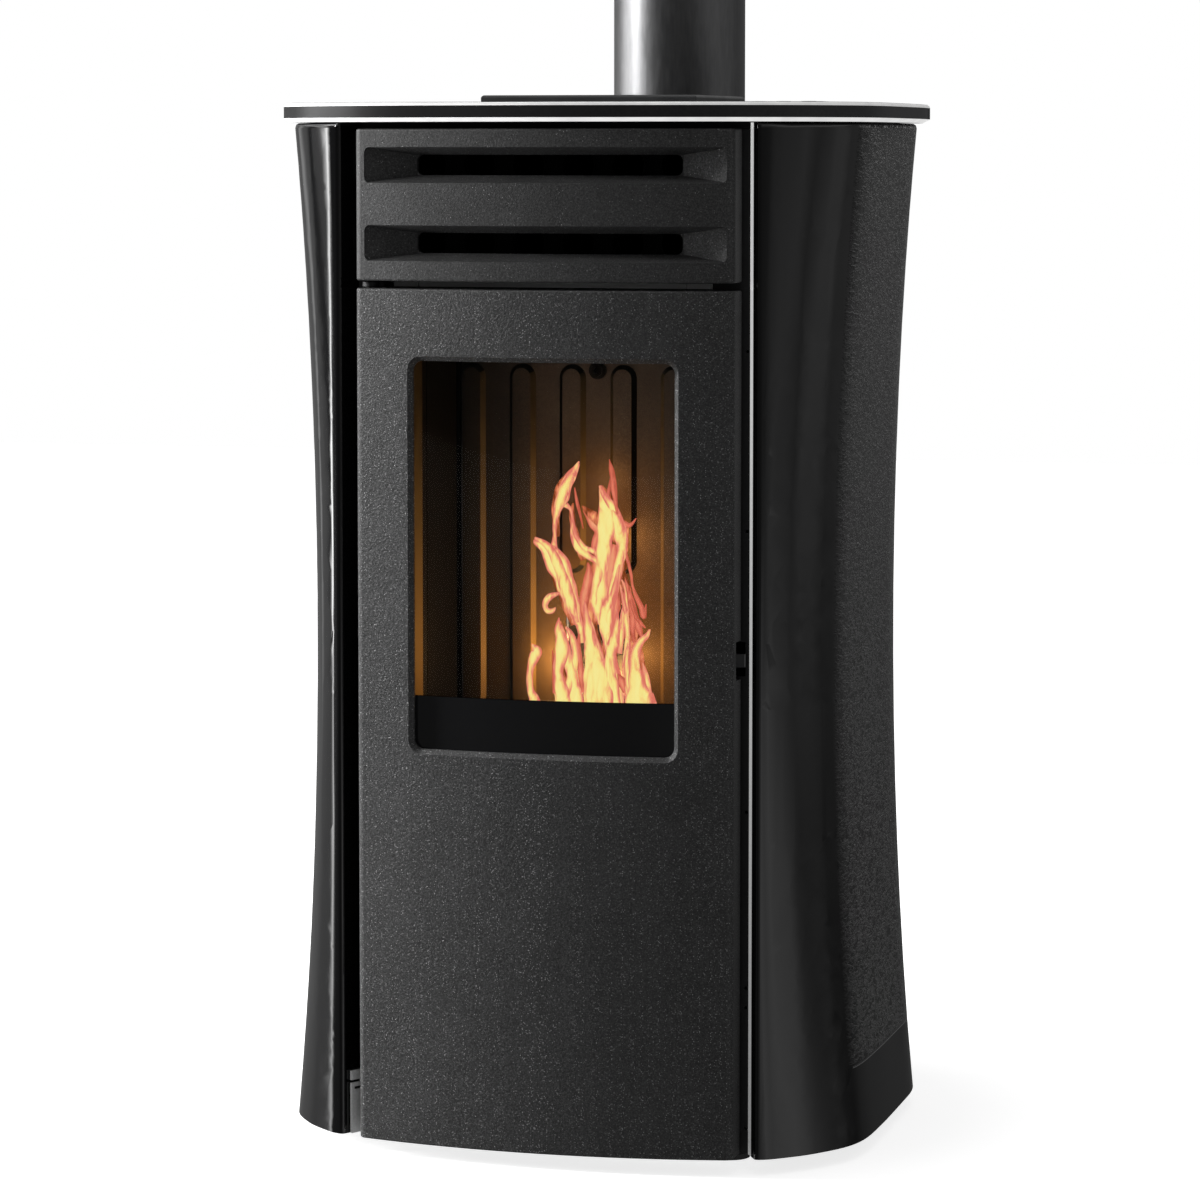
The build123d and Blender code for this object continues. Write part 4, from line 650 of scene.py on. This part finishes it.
fm = {k: flame_mat(k) for k in ("y", "s", "v")}
for name, kind, depth, pts in FLAMES:
    o = flame(name, kind, depth, pts)
    o.data.materials.append(fm[kind].m)
    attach(o, "pot")


# ------------------------------------------------------------------ lights, floor, world
def area(name, loc, target, sx, sy, watts, color=(1, 1, 1), glossy=True):
    d = bpy.data.lights.new(name, "AREA")
    d.shape = "RECTANGLE"
    d.size, d.size_y = sx, sy
    d.energy = watts
    d.color = color
    o = bpy.data.objects.new(name, d)
    scene.collection.objects.link(o)
    o.location = loc
    o.rotation_mode = "QUATERNION"
    o.rotation_quaternion = (Vector(target) - Vector(loc)).to_track_quat("-Z", "Y")
    o.visible_camera = False
    o.visible_transmission = False
    o.visible_glossy = glossy
    return o
    return o


area("key_left", (-2.99, -0.55, 1.00), (-0.10, -0.27, 0.70), 0.5, 1.3, 255, glossy=False)
area("key_high", (-2.72, -0.85, 1.75), (0.0, 0.15, 1.12), 0.26, 0.5, 150).visible_diffuse = False
area("soft_top", (0.0, -0.6, 3.4), (0, 0, 0.9), 2.4, 2.0, 14)

fire_y = (YS + 165) * MM
for i, (x, y, z, watts) in enumerate(((-0.040, fire_y, 0.455, 0.24), (0.045, fire_y, 0.460, 0.13), (0.000, fire_y, 0.520, 0.26), (0.028, fire_y, 0.575, 0.11), (0.012, fire_y, 0.630, 0.05))):
    d = bpy.data.lights.new(f"fire_{i}", "POINT")
    d.energy = watts
    d.color = (1.0, 0.54, 0.18)
    d.shadow_soft_size = 0.02
    o = bpy.data.objects.new(f"fire_{i}", d)
    o.location = (x, y, z)
    o.visible_camera = False
    o.visible_transmission = False
    scene.collection.objects.link(o)

me = bpy.data.meshes.new("floor")
r = 9.0
me.from_pydata([(-r, -r, 0), (r, -r, 0), (r, r, 0), (-r, r, 0)], [], [(0, 1, 2, 3)])
floor = bpy.data.objects.new("floor", me)
scene.collection.objects.link(floor)
# floor: a glowing pale backdrop; the glow falls from 1.0 far out to 0.78 close to the stove, a painted shade round the
# stove
fl = Mat("floor", (0.9, 0.9, 0.9), 0.9)
fl.to("Base Color", fl.ramp(fl.noise(3, 2), (0.3, 0.60), (0.7, 0.64)))
fx, fy = fl.axis(0), fl.axis(1)
dist = fl.math("SQRT", fl.math("ADD", fl.math("MULTIPLY", fx, fx), fl.math("MULTIPLY", fy, fy)))
away = fl.math("DIVIDE", fl.math("SUBTRACT", dist, 0.34), 0.30, clamp=True)
fl.to("Emission Strength", fl.ramp(away, (0.0, (0.78, 0.78, 0.78)), (1.0, (1.0, 1.0, 1.0))))
fl.set(Emission_Color=(1, 1, 1, 1))
me.materials.append(fl.m)
floor.visible_glossy = False
floor.visible_diffuse = False
floor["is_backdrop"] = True

# studio: plain white to the camera; what the glossy surfaces mirror is a dim room with paler panels,
# given by compass direction (0 in front of the door, negative on its left) at eye level and towards the floor
world = bpy.data.worlds.new("studio")
scene.world = world
world.use_nodes = True
world.cycles.sampling_method = "NONE"
wn = world.node_tree
wn.nodes.clear()


def wnode(kind, **kw):
    n = wn.nodes.new(kind)
    for k, v in kw.items():
        setattr(n, k, v)
    return n


def wmath(op, a, b=0.0, clamp=False):
    n = wnode("ShaderNodeMath", operation=op, use_clamp=clamp)
    for i, v in enumerate((a, b)):
        if hasattr(v, "is_output"):
            wn.links.new(v, n.inputs[i])
        else:
            n.inputs[i].default_value = v
    return n.outputs[0]


def wmix(fac, a, b):
    n = wnode("ShaderNodeMix", data_type="RGBA")
    for sock, v in ((n.inputs[0], fac), (n.inputs[6], a), (n.inputs[7], b)):
        wn.links.new(v, sock)
    return n.outputs[2]


def compass(fac, stops):
    n = wnode("ShaderNodeValToRGB")
    el = n.color_ramp.elements
    while len(el) < len(stops):
        el.new(0.5)
    for e, (deg, v) in zip(el, stops):
        e.position = 0.5 + deg / 360.0
        e.color = (v, v, v, 1)
    wn.links.new(fac, n.inputs["Fac"])
    return n.outputs["Color"]


tc = wnode("ShaderNodeTexCoord")
sx = wnode("ShaderNodeSeparateXYZ")
wn.links.new(tc.outputs["Generated"], sx.inputs[0])
az = wmath("ARCTAN2", sx.outputs[0], wmath("MULTIPLY", sx.outputs[1], -1.0))
az = wmath("ADD", wmath("DIVIDE", az, 2 * math.pi), 0.5)
eye = compass(az, [(-180, 0.10), (-155, 0.18), (-139, 0.20), (-134.5, 0.75), (-130, 0.26), (-124, 0.30), (-119.5, 0.22),
                   (-117, 0.08), (-113.5, 0.08), (-111, 0.30), (-104, 0.42), (-92, 0.30), (-82, 0.12), (-70, 0.10), (-20, 0.08), (32, 0.12), (50, 0.17), (60, 0.26), (72, 0.33),
                   (84, 0.42), (97, 0.24), (108, 0.42), (117, 0.38), (126, 0.21), (141, 0.14), (160, 0.13), (168, 0.10), (180, 0.10)])
low = compass(az, [(-180, 0.06), (-145, 0.20), (-120, 0.25), (-104, 0.28), (-92, 0.20), (-80, 0.12), (-40, 0.09),
                   (0, 0.08), (30, 0.35), (44, 0.85), (62, 0.72), (76, 0.86), (88, 0.62), (99, 0.29), (107, 0.17),
                   (113, 0.14), (122, 0.06), (138, 0.045), (150, 0.065), (165, 0.058), (180, 0.06)])
deg = wmath("MULTIPLY", wmath("SUBTRACT", az, 0.5), 360.0)
rise = wmath("MULTIPLY", sx.outputs[2], 57.3)
down = wmath("DIVIDE", wmath("SUBTRACT", -0.087, sx.outputs[2]), 0.050, clamp=True)
floorward = wmath("DIVIDE", wmath("SUBTRACT", -0.30, sx.outputs[2]), 0.25, clamp=True)
upward = wmath("DIVIDE", wmath("SUBTRACT", sx.outputs[2], 0.35), 0.35, clamp=True)
c = wmix(down, eye, low)
dim = wnode("ShaderNodeRGB")
dim.outputs[0].default_value = (0.22, 0.22, 0.22, 1)
c = wmix(floorward, c, dim.outputs[0])
ceil = wnode("ShaderNodeRGB")
ceil.outputs[0].default_value = (0.35, 0.35, 0.35, 1)
c = wmix(upward, c, ceil.outputs[0])
behind = wmath("DIVIDE", wmath("SUBTRACT", wmath("ABSOLUTE", deg), 138.0), 14.0, clamp=True)
glow = wmath("MULTIPLY", wmath("DIVIDE", wmath("SUBTRACT", rise, 2.0), 5.0, clamp=True), behind)
backlit = wnode("ShaderNodeRGB")
backlit.outputs[0].default_value = (0.42, 0.42, 0.42, 1)
c = wmix(glow, c, backlit.outputs[0])
# a narrow bowed light strip at the far left, weaker near the floor
off = wmath("ADD", rise, 6.5)
centre = wmath("ADD", wmath("MULTIPLY", wmath("MULTIPLY", off, off), 0.68), -109.0)
centre = wmath("MINIMUM", centre, -91.0)
wide = wmath("ADD", wmath("MULTIPLY", wmath("DIVIDE", wmath("ADD", rise, 2.2), 1.0, clamp=True), 6.0), 9.5)
near = wmath("DIVIDE", wmath("ABSOLUTE", wmath("SUBTRACT", deg, centre)), wide)
near = wmath("POWER", wmath("SUBTRACT", 1.0, near, clamp=True), 1.5)
tall = wmath("DIVIDE", wmath("SUBTRACT", 9.0, rise), 4.0, clamp=True)
power = wmath("ADD", wmath("MULTIPLY", wmath("DIVIDE", wmath("ADD", rise, 6.6), 1.2, clamp=True), 8.0), 4.5)
strip = wmath("MULTIPLY", wmath("MULTIPLY", near, tall), power)
strip_rgb = wnode("ShaderNodeCombineColor")
for i in range(3):
    wn.links.new(strip, strip_rgb.inputs[i])
add = wnode("ShaderNodeMix", data_type="RGBA", blend_type="ADD")
add.inputs[0].default_value = 1.0
wn.links.new(c, add.inputs[6])
wn.links.new(strip_rgb.outputs[0], add.inputs[7])
c = add.outputs[2]
wout = wnode("ShaderNodeOutputWorld")
path = wnode("ShaderNodeLightPath")
white = wnode("ShaderNodeBackground")
white.inputs[0].default_value = (1, 1, 1, 1)
amb = wnode("ShaderNodeBackground")
amb.inputs[0].default_value = (1, 1, 1, 1)
amb.inputs[1].default_value = 0.27
gloss = wnode("ShaderNodeBackground")
wn.links.new(c, gloss.inputs[0])
m1 = wnode("ShaderNodeMixShader")
m2 = wnode("ShaderNodeMixShader")
wn.links.new(path.outputs["Is Glossy Ray"], m1.inputs[0])
wn.links.new(amb.outputs[0], m1.inputs[1])
wn.links.new(gloss.outputs[0], m1.inputs[2])
wn.links.new(path.outputs["Is Camera Ray"], m2.inputs[0])
wn.links.new(m1.outputs[0], m2.inputs[1])
wn.links.new(white.outputs[0], m2.inputs[2])
wn.links.new(m2.outputs[0], wout.inputs[0])

# ------------------------------------------------------------------ sizes
low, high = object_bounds()
